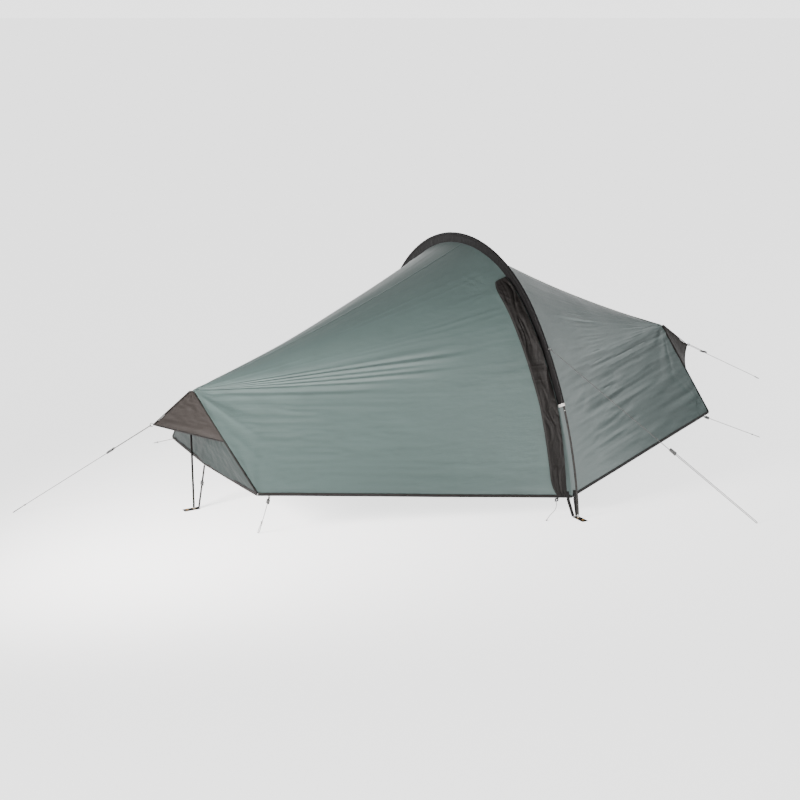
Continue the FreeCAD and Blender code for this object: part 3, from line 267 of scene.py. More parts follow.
def linked(name, data):
    """An object of the data, in the scene."""
    made = bpy.data.objects.new(name, data)
    bpy.context.scene.collection.objects.link(made)
    return made


def new_object(name, parts, look, body):
    """A smooth mesh piece. parts are vertices, faces, and uvs in metres on the piece's own surface."""
    verts, faces, uvs = parts
    mesh = bpy.data.meshes.new(name)
    mesh.from_pydata(np.asarray(verts, float).tolist(), [], faces)
    mesh.update()
    layer = mesh.uv_layers.new(name="metres")
    corners = np.zeros(len(mesh.loops), np.int32)
    mesh.loops.foreach_get("vertex_index", corners)
    layer.data.foreach_set("uv", np.asarray(uvs, np.float32)[corners].ravel())
    mesh.shade_smooth()
    mesh.set_sharp_from_angle(angle=SHARP_ANGLE)
    mesh.materials.append(LOOKS[look])
    made = linked(name, mesh)
    if body:
        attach(made, body)
    return made


def normals_of(points, outward):
    """Unit normals of a grid of points, all on the side that outward points to at its middle."""
    normal = unit(np.cross(np.gradient(points, axis=0), np.gradient(points, axis=1)))
    middle = points.shape[0] // 2, points.shape[1] // 2
    return normal * (1 if dot(normal[middle], vec(*outward)) > 0 else -1)


def grid_faces(rows, columns, first, flip):
    """The quads of one side of a grid whose vertices count from first."""
    faces = []
    for i in range(rows - 1):
        for j in range(columns - 1):
            a = first + i * columns + j
            quad = (a, a + 1, a + columns + 1, a + columns)
            faces.append(quad[::-1] if flip else quad)
    return faces


def shell(points, normal, thickness):
    """A closed sheet whose outer face is the grid."""
    rows, columns = points.shape[:2]
    count = rows * columns
    verts = np.vstack([points.reshape(-1, 3), (points - normal * thickness).reshape(-1, 3)])
    i, j = rows // 2, columns // 2
    turn = np.cross(points[i, j] - points[i, j - 1], points[i, j] - points[i - 1, j])
    flip = dot(turn, normal[i, j]) < 0
    faces = grid_faces(rows, columns, 0, flip) + grid_faces(rows, columns, count, not flip)
    rim = list(range(columns)) + [i * columns + columns - 1 for i in range(1, rows)]
    rim += [(rows - 1) * columns + j for j in range(columns - 2, -1, -1)]
    rim += [i * columns for i in range(rows - 2, 0, -1)]
    for a, b in zip(rim, rim[1:] + rim[:1]):
        quad = (b, a, a + count, b + count)
        faces.append(quad[::-1] if flip else quad)
    return verts, faces


def grid_uvs(points):
    """Distances along the rows and down the columns of a grid."""
    along = np.linalg.norm(np.diff(points, axis=1), axis=-1)
    down = np.linalg.norm(np.diff(points, axis=0), axis=-1)
    u = np.concatenate([np.zeros((len(points), 1)), along.cumsum(1)], 1)
    v = np.concatenate([np.zeros((1, points.shape[1])), down.cumsum(0)], 0)
    return np.stack([u, v], -1).reshape(-1, 2)


def grid_area(points):
    one = np.cross(points[1:, :-1] - points[:-1, :-1], points[:-1, 1:] - points[:-1, :-1])
    other = np.cross(points[1:, :-1] - points[1:, 1:], points[:-1, 1:] - points[1:, 1:])
    return float((np.linalg.norm(one, axis=-1) + np.linalg.norm(other, axis=-1)).sum() / 2)


def grid_size(points):
    """The longest row and the longest column of a grid."""
    rows = np.linalg.norm(np.diff(points, axis=1), axis=-1).sum(1).max()
    columns = np.linalg.norm(np.diff(points, axis=0), axis=-1).sum(0).max()
    return float(rows), float(columns)


def joined(meshes):
    """Several (vertices, faces, uvs) as one."""
    verts, faces, uvs = [], [], []
    for more_verts, more_faces, more_uvs in meshes:
        first = sum(len(v) for v in verts)
        verts.append(np.asarray(more_verts, float))
        faces += [tuple(first + k for k in face) for face in more_faces]
        uvs.append(np.asarray(more_uvs, float))
    return np.vstack(verts), faces, np.vstack(uvs)


def patch_mesh(points, relief, outward, thickness, lift):
    """A closed sheet over a smooth grid, raised and lowered by its relief."""
    height = np.broadcast_to(relief, points.shape[:2])[..., None] + lift
    raised = points + normals_of(points, outward) * height
    verts, faces = shell(raised, normals_of(raised, outward), thickness)
    return verts, faces, np.tile(grid_uvs(points), (2, 1))


def cloth(name, patches, outward, look, body, replaced=(),
          thickness=CLOTH, lift=0.0):
    """A sheet of cloth over smooth grids, in place of the CAD parts that it replaces."""
    meshes = [patch_mesh(points, relief, outward, thickness, lift) for points, relief in patches]
    made = new_object(name, joined(meshes), look, body)
    if replaced:
        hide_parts(*replaced)
    largest = max((points for points, relief in patches), key=grid_area)
    width, length = grid_size(largest)
    area = sum(grid_area(points) for points, relief in patches)
    length = max(length, area / width)
    area = min(max(area, LEAST_AREA_SHARE * width * length), width * length)
    return made


def rounded(width, thickness):
    """The outline of a flat strip with round edges, as (across, out) pairs."""
    half, r = width / 2 - thickness / 2, thickness / 2
    pairs = []
    for centre, start in ((half, -math.pi / 2), (-half, math.pi / 2)):
        for k in range(EDGE_STEPS + 1):
            turn = start + math.pi * k / EDGE_STEPS
            pairs.append((centre + r * math.cos(turn), r * math.sin(turn)))
    return pairs


def ribbon_mesh(points, across, outline):
    """An outline swept along points; across is the strip's width direction, one or one for each point."""
    points = np.asarray(points, float)
    along = unit(np.gradient(points, axis=0))
    across = np.broadcast_to(np.asarray(across, float), points.shape)
    across = unit(across - along * dot(across, along)[:, None])
    out = np.cross(along, across)
    n = len(outline)
    verts = np.vstack([p + a * w + b * o for p, w, o in zip(points, across, out) for a, b in outline])
    faces = []
    for i in range(len(points) - 1):
        for k in range(n):
            a, b = i * n + k, i * n + (k + 1) % n
            faces.append((a, b, b + n, a + n))
    faces.append(tuple(range(n))[::-1])
    faces.append(tuple((len(points) - 1) * n + k for k in range(n)))
    run = np.concatenate([[0], np.linalg.norm(np.diff(points, axis=0), axis=-1).cumsum()])
    uvs = [(a, run[i]) for i in range(len(points)) for a, b in outline]
    return verts, faces, uvs


def ribbons(name, runs, strip, look, body="tent"):
    """Flat strips with round edges, one for each (points, across) pair in runs."""
    outline = rounded(*strip)
    return new_object(name, joined([ribbon_mesh(*run, outline) for run in runs]), look, body)


def line(a, b, count):
    """Points evenly spaced from a to b."""
    return vec(*a) + (vec(*b) - vec(*a)) * np.linspace(0, 1, count)[:, None]


def circle(radius, sides):
    turns = np.arange(sides) * 2 * math.pi / sides
    return [(radius * math.cos(t), radius * math.sin(t)) for t in turns]


# --- Materials ---


WAVE_SCALE = math.pi / 10  # a wave texture of this scale repeats once a metre
WOUND_PITCH = 0.020
BRAID_PITCH = 0.003
RIPSTOP_PITCH = 0.006
NET_PITCH = 0.0022
STITCH_PITCH = 0.0034
STITCH_HALF_WIDTH = 0.0005


class Surface:
    """A procedural material under construction: one Principled shader, with colour and height layers."""

    def __init__(self, name, colour, roughness, **sockets):
        self.material = bpy.data.materials.new(name)
        self.material.use_nodes = True
        self.nodes = self.material.node_tree.nodes
        self.links = self.material.node_tree.links
        self.shader = self.nodes["Principled BSDF"]
        self.shader.inputs["Base Color"].default_value = (*colour, 1)
        self.shader.inputs["Roughness"].default_value = roughness
        for socket, value in sockets.items():
            self.shader.inputs[socket.replace("_", " ")].default_value = value
        self.colour = None
        self.base = colour
        self.height = None

    def node(self, kind, **values):
        """A shader node with its settings and constant inputs, whose names have _ for a blank."""
        made = self.nodes.new(kind)
        for key, value in values.items():
            if hasattr(made, key):
                setattr(made, key, value)
            else:
                made.inputs[key.replace("_", " ")].default_value = value
        return made

    def place(self, uv=False, scale=(1, 1, 1), turn=0.0):
        """Coordinates in metres: on the piece's surface, or in the tent's frame."""
        source = self.node("ShaderNodeTexCoord")
        mapping = self.node("ShaderNodeMapping")
        mapping.inputs["Scale"].default_value = scale
        mapping.inputs["Rotation"].default_value = (0, 0, turn)
        self.links.new(source.outputs["UV" if uv else "Object"], mapping.inputs["Vector"])
        return mapping.outputs["Vector"]

    def noise(self, scale, detail, stretch=(1, 1, 1)):
        """Noise in the tent's frame, with more features a metre along the axes that stretch raises."""
        made = self.node("ShaderNodeTexNoise", Scale=scale, Detail=detail)
        self.links.new(self.place(scale=stretch), made.inputs["Vector"])
        return made.outputs["Fac"]

    def bands(self, pitch, direction="X", turn=0.0, uv=True):
        """Soft stripes, pitch metres apart."""
        made = self.node("ShaderNodeTexWave", bands_direction=direction, Scale=WAVE_SCALE / pitch)
        self.links.new(self.place(uv, turn=turn), made.inputs["Vector"])
        return made.outputs["Fac"]

    def math(self, operation, a, b=0.0):
        made = self.node("ShaderNodeMath", operation=operation)
        for socket, value in zip(made.inputs, (a, b)):
            if isinstance(value, (int, float)):
                socket.default_value = value
            else:
                self.links.new(value, socket)
        return made.outputs["Value"]

    def ramp(self, factor, low, high):
        """The factor stretched so that low becomes 0 and high becomes 1."""
        made = self.node("ShaderNodeMapRange", From_Min=low, From_Max=high)
        self.links.new(factor, made.inputs["Value"])
        return made.outputs["Result"]

    def tint(self, factor, colour, strength):
        """Mixes a colour in where factor is high."""
        made = self.node("ShaderNodeMix", data_type="RGBA")
        if self.colour:
            self.links.new(self.colour, made.inputs[6])
        else:
            made.inputs[6].default_value = (*self.base, 1)
        made.inputs[7].default_value = (*colour, 1)
        self.links.new(self.math("MULTIPLY", factor, strength), made.inputs["Factor"])
        self.colour = made.outputs[2]

    def mottle(self, scale, detail, low, high, shade, strength, stretch=(1, 1, 1)):
        """Patches where the base colour is shade times as bright."""
        patches = self.ramp(self.noise(scale, detail, stretch=stretch), low, high)
        self.tint(patches, scaled(self.base, shade), strength)

    def raise_by(self, factor, metres):
        """Adds factor times metres to the surface's height."""
        step = self.math("MULTIPLY", factor, metres)
        self.height = self.math("ADD", self.height, step) if self.height else step

    def wear(self, factor, low, high):
        """Lets roughness run from low to high with the factor."""
        made = self.node("ShaderNodeMapRange", To_Min=low, To_Max=high)
        self.links.new(factor, made.inputs["Value"])
        self.links.new(made.outputs["Result"], self.shader.inputs["Roughness"])

    def done(self):
        if self.colour:
            self.links.new(self.colour, self.shader.inputs["Base Color"])
        if self.height:
            bump = self.node("ShaderNodeBump", Strength=1.0, Distance=1.0)
            self.links.new(self.height, bump.inputs["Height"])
            self.links.new(bump.outputs["Normal"], self.shader.inputs["Normal"])
        return self.material


def scaled(colour, by):
    return tuple(min(1.0, c * by) for c in colour)


def coated_cloth(name, colour, roughness=0.46, sheen=0.03, streak=0.10, specular=0.42):
    """Thin coated nylon: a ripstop grid, faint streaks of tone, and the small creases left by packing."""
    made = Surface(name, colour, roughness, Sheen_Weight=sheen, Specular_IOR_Level=specular)
    made.mottle(3.0, 4.0, 0.42, 0.7, 1 + streak * 1.6, 0.55, (0.5, 1.2, 2.2))
    made.mottle(11.0, 5.0, 0.5, 0.75, 1 - streak, 0.6)
    lines = [made.ramp(made.bands(RIPSTOP_PITCH, way), 0.93, 1.0) for way in ("X", "Y")]
    ripstop = made.math("MAXIMUM", *lines)
    made.tint(ripstop, scaled(colour, 0.88), 0.5)
    made.raise_by(ripstop, 0.00006)
    made.raise_by(made.noise(38.0, 4.0, stretch=(0.6, 1, 1.5)), 0.0007)
    made.raise_by(made.noise(20.0, 3.0, stretch=(0.22, 1, 1.8)), 0.0014)
    made.raise_by(made.noise(420.0, 2.0), 0.00006)
    made.wear(made.noise(7.0, 3.0), roughness - 0.07, roughness + 0.1)
    return made.done()


def crinkled_cloth(name, colour, depth):
    """Soft thin cloth with small sharp crinkles all over; the crinkles' crests are painted paler as a
    highlight.
    """
    made = Surface(name, colour, 0.66, Sheen_Weight=0.0, Specular_IOR_Level=0.15)
    crinkle = made.noise(60.0, 6.0, stretch=(1, 1, 0.5))
    # Painted highlight: the crinkles' raised crests are drawn paler.
    made.tint(made.ramp(crinkle, 0.5, 0.75), scaled(colour, 1.6), 0.5)
    made.mottle(160.0, 2.0, 0.55, 0.8, 0.6, 0.6)
    made.raise_by(crinkle, depth)
    made.raise_by(made.bands(0.0016, "Y"), 0.00005)
    made.wear(crinkle, 0.5, 0.75)
    return made.done()


def woven_tape(name, colour, rib, stitch=None, edge=0.0):
    """Woven tape or webbing: ribs across it, and stitches of a colour, edge metres from its middle."""
    made = Surface(name, colour, 0.78, Sheen_Weight=0.0, Specular_IOR_Level=0.15)
    ribs = made.bands(rib, "Y")
    made.tint(ribs, scaled(colour, 1.5), 0.5)
    made.raise_by(ribs, 0.00018)
    made.raise_by(made.bands(rib * 0.8, "X"), 0.00008)
    made.mottle(30.0, 4.0, 0.5, 0.8, 1.7, 0.5)
    if stitch:
        split = made.node("ShaderNodeSeparateXYZ")
        made.links.new(made.place(uv=True), split.inputs["Vector"])
        from_middle = made.math("ABSOLUTE", split.outputs["X"])
        off = made.math("ABSOLUTE", made.math("SUBTRACT", from_middle, edge))
        near = made.math("LESS_THAN", off, STITCH_HALF_WIDTH)
        dash = made.ramp(made.bands(STITCH_PITCH, "Y"), 0.45, 0.55)
        thread = made.math("MULTIPLY", near, dash)
        made.tint(thread, stitch, 0.9)
        made.raise_by(thread, 0.0003)
    made.wear(made.noise(18.0, 3.0), 0.68, 0.9)
    return made.done()


def netting(name, colour):
    """Fine knitted netting: paler threads over dark holes."""
    made = Surface(name, colour, 0.8)
    threads = [made.ramp(made.bands(NET_PITCH, "X", turn), 0.55, 0.9) for turn in (0.6, -0.6)]
    thread = made.math("MAXIMUM", *threads)
    made.tint(thread, scaled(colour, 2.6), 0.8)
    made.mottle(9.0, 3.0, 0.45, 0.75, 1.5, 0.4)
    made.raise_by(thread, 0.0002)
    return made.done()


def braided_cord(name, colour, fleck):
    """A braided cord: a two-way twill of strands, with a fleck of another colour."""
    made = Surface(name, colour, 0.7, Sheen_Weight=0.1)
    ways = [made.bands(BRAID_PITCH, "DIAGONAL", turn, False) for turn in (0.0, 1.57)]
    strands = made.math("MAXIMUM", *ways)
    made.tint(made.ramp(strands, 0.35, 0.8), scaled(colour, 1.15), 0.7)
    made.tint(made.ramp(made.noise(260.0, 1.0), 0.62, 0.7), fleck, 0.8)
    made.raise_by(strands, 0.00025)
    made.wear(made.noise(50.0, 2.0), 0.6, 0.85)
    return made.done()


def moulded_plastic(name, colour):
    """Matte moulded plastic with a fine grain and rubbed, glossier high spots."""
    made = Surface(name, colour, 0.5, Specular_IOR_Level=0.5)
    made.mottle(55.0, 4.0, 0.5, 0.8, 1.9, 0.5)
    made.raise_by(made.noise(1400.0, 2.0), 0.00005)
    made.wear(made.noise(90.0, 4.0), 0.32, 0.62)
    return made.done()


def metal(name, colour, roughness, scuff=0.6, turned=0.0):
    """Bare or anodised metal: drawn lines, scuffs, small changes of tone, and rings turned metres apart."""
    made = Surface(name, colour, roughness, Metallic=1.0)
    made.mottle(40.0, 5.0, 0.5, 0.72, 1.5, scuff)
    made.mottle(14.0, 3.0, 0.55, 0.8, 0.65, 0.5)
    made.raise_by(made.noise(700.0, 2.0, stretch=(1, 1, 0.04)), 0.00003)
    if turned:
        made.raise_by(made.bands(turned, "Z", uv=False), 0.00004)
    made.wear(made.noise(85.0, 4.0), roughness - 0.12, roughness + 0.14)
    return made.done()


def wrapped_tube(name, colour):
    """An anodised pole tube with a wound pattern of paler and darker turns."""
    made = Surface(name, colour, 0.55, Specular_IOR_Level=0.2)
    wound = made.node("ShaderNodeTexWave", bands_direction="DIAGONAL", Scale=WAVE_SCALE / WOUND_PITCH,
                      Distortion=2.5, Detail_Scale=3.0)
    made.links.new(made.place(scale=(1, 1, 1.6)), wound.inputs["Vector"])
    made.tint(made.ramp(wound.outputs["Fac"], 0.35, 0.8), scaled(colour, 2.0), 0.75)
    made.mottle(120.0, 4.0, 0.55, 0.75, 0.45, 0.7)
    made.raise_by(made.noise(300.0, 2.0), 0.00004)
    made.wear(made.noise(60.0, 3.0), 0.32, 0.55)
    return made.done()


FLY_COLOUR = (0.044, 0.064, 0.061)
HOOD_COLOUR = (0.0142, 0.0121, 0.0110)
SLEEVE_COLOUR = (0.0044, 0.0040, 0.0041)
FLAP_COLOUR = (0.0054, 0.0046, 0.0042)
EDGE_COLOUR = (0.0060, 0.0052, 0.0050)
THREAD = (0.035, 0.035, 0.035)

# Each look: its name, what makes it, and the values that it is made with.
LOOK_ROWS = [
    ("fly_cloth", coated_cloth, FLY_COLOUR),
    # The end panels: the fly's own cloth, painted much darker as painted shade under the hoods.
    ("end_cloth", coated_cloth, scaled(FLY_COLOUR, 0.22), 0.62, 0.0, 0.10, 0.2),
    ("hood_cloth", coated_cloth, HOOD_COLOUR, 0.62, 0.0, 0.15, 0.12),
    ("sleeve_cloth", crinkled_cloth, SLEEVE_COLOUR, 0.0006),
    ("flap_cloth", crinkled_cloth, FLAP_COLOUR, 0.0022),
    ("edge_tape", woven_tape, EDGE_COLOUR, 0.0012, THREAD, 0.0028),
    ("pale_tape", woven_tape, (0.30, 0.29, 0.28), 0.0012),
    ("webbing", woven_tape, (0.0075, 0.0068, 0.0066), 0.0022, THREAD, 0.0050),
    ("hoop_tube", wrapped_tube, (0.0048, 0.0038, 0.0033)),
    ("strut_tube", metal, (0.006, 0.0056, 0.0055), 0.46),
    ("bare_aluminium", metal, (0.34, 0.34, 0.33), 0.34, 0.6, 0.0016),
    ("elastic", braided_cord, (0.040, 0.034, 0.030), (0.20, 0.19, 0.18)),
    ("brass", metal, (0.36, 0.22, 0.09), 0.30, 0.4),
    ("black_plastic", moulded_plastic, (0.006, 0.006, 0.006)),
    ("guy_cord", braided_cord, (0.028, 0.026, 0.025), (0.10, 0.096, 0.094)),
    ("ring_metal", metal, (0.12, 0.12, 0.12), 0.30),
    ("zip_tape", woven_tape, (0.008, 0.008, 0.008), 0.0010, THREAD, 0.0052),
    ("zip_coil", moulded_plastic, (0.012, 0.012, 0.012)),
    ("zip_metal", metal, (0.028, 0.028, 0.028), 0.34),
    ("zip_pull", woven_tape, (0.16, 0.15, 0.14), 0.0012),
    ("vent_mesh", netting, (0.008, 0.008, 0.0085)),
    ("tray_cloth", coated_cloth, (0.011, 0.012, 0.013), 0.5),
    ("inner_cloth", coated_cloth, (0.12, 0.128, 0.12), 0.68, 0.2, 0.06),
    ("inner_mesh", netting, (0.010, 0.010, 0.011)),
]
LOOKS = {name: make(name + "_look", *values) for name, make, *values in LOOK_ROWS}


def dress_cad_nodes():
    """Gives every CAD node the finished material of its slot."""
    for part in frame["record"]["subparts"]:
        for held in NODES[part["node"]].material_slots:
            held.material = LOOKS[part["material_slot"]]


# --- Camera, floor and light ---


HORIZON_LIGHT = 2.6
CEILING_LIGHT = 0.20
FLOOR_GLOW = 1.9
FLOOR_RADIUS = 900.0
FLOOR_SIDES = 96
FLOOR_Z = -0.0006


def camera():
    """The photograph's own view, from the fitted place, direction and focal length."""
    lens = bpy.data.cameras.new("camera")
    lens.sensor_width = 36.0
    lens.lens = 63.04
    lens.shift_y = -0.0124
    lens.clip_end = 2000.0
    eye = linked("camera", lens)
    eye.location = (-3.2766, -5.1765, 1.9835)
    ahead = Vector((0.4867, 0.8343, -0.2588))
    eye.rotation_euler = ahead.to_track_quat("-Z", "Y").to_euler()
    bpy.context.scene.camera = eye


def floor():
    """A plain pale disc, far wider than the tent."""
    rim = circle(FLOOR_RADIUS, FLOOR_SIDES)
    verts = [(0.0, 0.0, FLOOR_Z)] + [(x, y, FLOOR_Z) for x, y in rim]
    mesh = bpy.data.meshes.new("floor")
    mesh.from_pydata(verts, [], [(0, 1 + k, 1 + (k + 1) % FLOOR_SIDES) for k in range(FLOOR_SIDES)])
    pale = Surface("floor_look", (0.90, 0.90, 0.90), 0.9, Specular_IOR_Level=0.1,
                   Emission_Strength=FLOOR_GLOW)
    pale.shader.inputs["Emission Color"].default_value = (1.0, 1.0, 1.0, 1)
    pale.tint(pale.noise(0.8, 2.0), (0.88, 0.88, 0.885), 0.6)
    mesh.materials.append(pale.done())
    linked("floor", mesh)


def softbox(name, place, aim, size, watts, colour=(1, 1, 1), spread=math.pi):
    light = bpy.data.lights.new(name, "AREA")
    light.shape = "RECTANGLE"
    light.size, light.size_y = size
    light.energy = watts
    light.color = colour
    light.spread = spread
    made = linked(name, light)
    made.location = place
    made.rotation_euler = (Vector(aim) - Vector(place)).to_track_quat("-Z", "Y").to_euler()


def lights():
    """A bright horizon under a dim ceiling, a low broad key from the left, and two weaker boxes."""
    world = bpy.data.worlds.new("studio")
    bpy.context.scene.world = world
    world.use_nodes = True
    nodes, links = world.node_tree.nodes, world.node_tree.links
    way = nodes.new("ShaderNodeTexCoord")
    split = nodes.new("ShaderNodeSeparateXYZ")
    fall = nodes.new("ShaderNodeMapRange")
    span = {"From Min": 0.0, "From Max": 0.55, "To Min": HORIZON_LIGHT, "To Max": CEILING_LIGHT}
    for socket, value in span.items():
        fall.inputs[socket].default_value = value
    links.new(way.outputs["Generated"], split.inputs["Vector"])
    links.new(split.outputs["Z"], fall.inputs["Value"])
    links.new(fall.outputs["Result"], nodes["Background"].inputs["Strength"])
    nodes["Background"].inputs["Color"].default_value = (1.0, 1.0, 1.0, 1)
    softbox("key", (-5.6, -5.6, 1.1), (-0.7, -0.4, 0.3), (2.6, 1.6), 640, (1.0, 0.985, 0.96))
    softbox("fill", (5.5, -4.5, 1.6), (0.6, -0.2, 0.3), (3.0, 1.6), 200)
    softbox("left_end", (-3.2, -0.7, 1.2), (-1.15, -0.35, 0.35), (0.8, 0.8), 36, (1.0, 0.95, 0.93),
            math.radians(62))


# --- Cords: guylines and corner cords, which come first ---

CORD = 0.0025
DOOR_CORD = 0.0020
CORD_LIFT = 0.0022
STRAND_GAP = 0.017
LOOP_GAP = 0.012
LOOP_LENGTH = 0.060
LOOP_SIDE = 0.0028
KNOT_SIZE = 0.0032
NEAR_END = 0.015  # an extra point this far from a ring, on a long straight run
RING_TO_CORD = 0.0082
HOOD_RING_OUT = 0.009
HOOD_RING_DROP = 0.001
RING_WIRE = 0.0025
PAST_SLIDER = 0.004
CORNER_TAB = 0.016
HEM_TO_TAB = 0.0012
CORNER_TAB_SHARE = 0.965
GUY_RING_ANGLE = math.radians(56.0)
SIDE_GUY_OUT = vec(0.581, -1.311, CORD_LIFT)
GROUNDS = {LEFT: vec(-1.900, 0.345, CORD_LIFT), RIGHT: vec(2.330, 0.400, CORD_LIFT)}
SIDE_SLIDER_SHARE = 0.60
END_SLIDER_REACH = 0.205
CORNER_CORD_OUT = {
    (LEFT, FRONT): vec(-0.016, 0.070, 0),
    (LEFT, BACK): vec(0.060, 0.500, 0),
    (RIGHT, FRONT): vec(0.395, 0.025, 0),
}


def across_of(along):
    """The level direction across a cord."""
    return unit(vec(-along[1], along[0], 0))


def side_guy_route():
    """From the hoop's ring straight to the peg, round it, and back to the slider."""
    y, z = arc_point(GUY_RING_ANGLE, -0.007)
    start = vec(HOOP_X, -y, z)
    ground = vec(HOOP_X, 0, 0) + SIDE_GUY_OUT
    along = unit(ground - start)
    across = across_of(along) * STRAND_GAP
    slider = start + along * (SIDE_SLIDER_SHARE * np.linalg.norm(ground - start))
    first = start + along * RING_TO_CORD
    return [
        first,
        first + along * NEAR_END,
        ground - along * STRAND_GAP,
        ground,
        ground + across,
        ground + across - along * STRAND_GAP,
        slider + across + along * 0.002,
    ]


def end_guy_route(end):
    """From the slider up through the hood's ring, down to the peg, round it, and back to a knot."""
    start = hood_tip(end) + vec(end * HOOD_RING_OUT, 0, -HOOD_RING_DROP)
    along = unit(GROUNDS[end] - start)
    across = across_of(along)
    half = across * STRAND_GAP / 2
    ring = start + along * RING_WIRE
    slider = start + along * END_SLIDER_REACH
    peg = GROUNDS[end] + half
    return [
        slider - half + along * PAST_SLIDER,
        ring - half + along * STRAND_GAP,
        ring - half,
        ring + half,
        ring + half + along * STRAND_GAP,
        peg - along * LOOP_GAP,
        peg,
        peg + across * LOOP_GAP,
        peg + across * LOOP_GAP - along * LOOP_GAP,
        peg - along * LOOP_LENGTH + across * LOOP_SIDE,
    ]


def corner_cord_route(end, side):
    """Out of the tensioner straight to the peg, round it, and back to a knot."""
    start = fly_point(end, side, HEM_DOWN, CORNER_TAB_SHARE) - vec(0, 0, HEM_HEIGHT + HEM_TO_TAB)
    out = CORNER_CORD_OUT[(end, side)]
    ground = vec(start[0] + out[0], start[1] + out[1], CORD_LIFT)
    along = unit(ground - start)
    across = across_of(along)
    knot = ground - along * min(LOOP_LENGTH, 0.3 * np.linalg.norm(ground - start))
    return [
        start + along * (CORNER_TAB + 0.006),
        ground - along * LOOP_GAP,
        ground,
        ground + across * LOOP_GAP,
        knot + across * LOOP_SIDE,
    ]


def door_cord_route():
    """A short loose end that hangs from the door's hook and lies on the ground."""
    at = fly_point(LEFT, FRONT, HEM_DOWN, 0.05) - vec(0, 0, HEM_HEIGHT + HEM_TO_TAB + 0.014)
    steps = [(0, 0, 0), (-1, -3, -13), (-8, -8, -25), (-19, -12, -34), (-33, -14, -42), (-49, -18, -49)]
    route = [at + vec(*step) / 1000 for step in steps]
    return route + [vec(at[0] - 0.066, at[1] - 0.025, 0.0013)]


def knot_mesh(centre, strand):
    """A small overhand knot: a thin tube along a trefoil."""
    turns = np.linspace(0, 2 * math.pi, 40)
    trefoil = np.stack([np.sin(turns) + 2 * np.sin(2 * turns), np.cos(turns) - 2 * np.cos(2 * turns),
                        -1.3 * np.sin(3 * turns)], -1) * KNOT_SIZE / 3
    points = centre + trefoil
    across = np.cross(np.gradient(points, axis=0), trefoil + vec(0, 0, 1e-4))
    return ribbon_mesh(points, across, circle(strand / 2, 7))


def free_cord(name, route, node, knot=-1, body="tent", diameter=CORD):
    """A cord along its route, knotted at one of its points."""
    curve = bpy.data.curves.new(name, "CURVE")
    curve.dimensions = "3D"
    curve.bevel_depth = diameter / 2
    curve.bevel_resolution = 3
    curve.resolution_u = 10
    curve.use_fill_caps = True
    spline = curve.splines.new("NURBS")
    spline.points.add(len(route) - 1)
    for held, point in zip(spline.points, route):
        held.co = (*point, 1)
    spline.order_u = 3
    spline.use_endpoint_u = True
    curve.materials.append(LOOKS["guy_cord"])
    made = linked(name, curve)
    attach(made, body)
    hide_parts(node)
    tied = new_object(name + "_knot", knot_mesh(route[knot], diameter), "guy_cord", body)


def cords():
    for end, name in ENDS.items():
        free_cord("guyline_" + name, end_guy_route(end), "guy_line_" + name)
    free_cord("guyline_front", side_guy_route(), "guy_line_front", 0)
    for end, side in CORNER_CORD_OUT:
        name = quarter(end, side)
        free_cord("corner_cord_" + name + "_line", corner_cord_route(end, side), "corner_cord_" + name)
    free_cord("door_cord_line", door_cord_route(), "door_cord", -1, "door", DOOR_CORD)


# --- The flysheet ---


LONGEST_FLY_ROW = 1.3


def spaced_down(low, high, pitch=GRID):
    return np.linspace(low, high, max(4, int(round((high - low) / pitch)) + 1))[:, None]


def end_of_cloth(down):
    """The share at which the flysheet ends: just short of the strut's cap, and on the edge below it."""
    return 0.9975 + 0.0015 * edge_share(down) ** 0.5


# Each row: lowest and highest length down the hoop, from the knee; lowest and highest share; height of the
# folds; their pitch down the hoop; and how far along one fold runs, as a share.
FOLD_BANDS = {
    (LEFT, FRONT): [
        (-0.26, 0.06, 0.36, 0.90, 0.0044, 0.026, 0.40),
        (-0.02, 0.12, 0.46, 0.92, 0.0030, 0.022, 0.30),
        (0.14, 0.34, 0.52, 0.86, 0.0034, 0.022, 0.12),
        (-0.12, 0.04, 0.04, 0.26, 0.0016, 0.020, 0.12),
        (0.40, 0.50, 0.10, 0.80, 0.0034, 0.022, 0.30),
        (-0.84, -0.30, 0.10, 0.97, 0.0030, 0.040, 0.50),
        (-0.36, -0.16, 0.02, 0.24, 0.0018, 0.022, 0.12),
    ],
    (LEFT, BACK): [
        (-0.24, 0.08, 0.36, 0.90, 0.0042, 0.028, 0.38),
        (0.12, 0.36, 0.48, 0.88, 0.0032, 0.024, 0.14),
        (-0.84, -0.30, 0.10, 0.97, 0.0030, 0.045, 0.50),
        (0.40, 0.50, 0.10, 0.78, 0.0034, 0.022, 0.28),
    ],
    (RIGHT, FRONT): [
        (-0.40, 0.10, 0.24, 0.97, 0.0075, 0.023, 0.36),
        (0.02, 0.46, 0.22, 0.94, 0.0078, 0.021, 0.30),
        (-0.50, 0.30, 0.34, 0.96, 0.0036, 0.020, 0.20),
        (-0.84, -0.50, 0.20, 0.97, 0.0030, 0.045, 0.45),
        (-0.10, 0.40, 0.14, 0.50, 0.0034, 0.022, 0.14),
    ],
    (RIGHT, BACK): [
        (-0.36, 0.12, 0.24, 0.97, 0.0058, 0.046, 0.40),
        (0.04, 0.46, 0.30, 0.92, 0.0050, 0.034, 0.22),
        (-0.84, -0.50, 0.20, 0.97, 0.0030, 0.045, 0.45),
    ],
}
# The long deep folds that run out of the left apex: length past the knee, width, height, and end share.
DEEP_FOLDS = [(-0.205, 0.020, 0.0044, 0.42), (-0.150, 0.018, 0.0070, 0.36), (-0.105, 0.016, 0.0044, 0.50),
              (-0.055, 0.017, 0.0060, 0.44), (-0.005, 0.018, 0.0054, 0.56), (0.050, 0.016, 0.0040, 0.62)]


def fold_room(down, share):
    """How much of its width at the hoop a fold keeps where the cloth narrows towards the apex."""
    spread = 1.3 * np.maximum(edge_share(down), 1e-6) ** (0.3 / 1.3)
    return 1 - share * (1 - np.clip(spread, 0, 1))


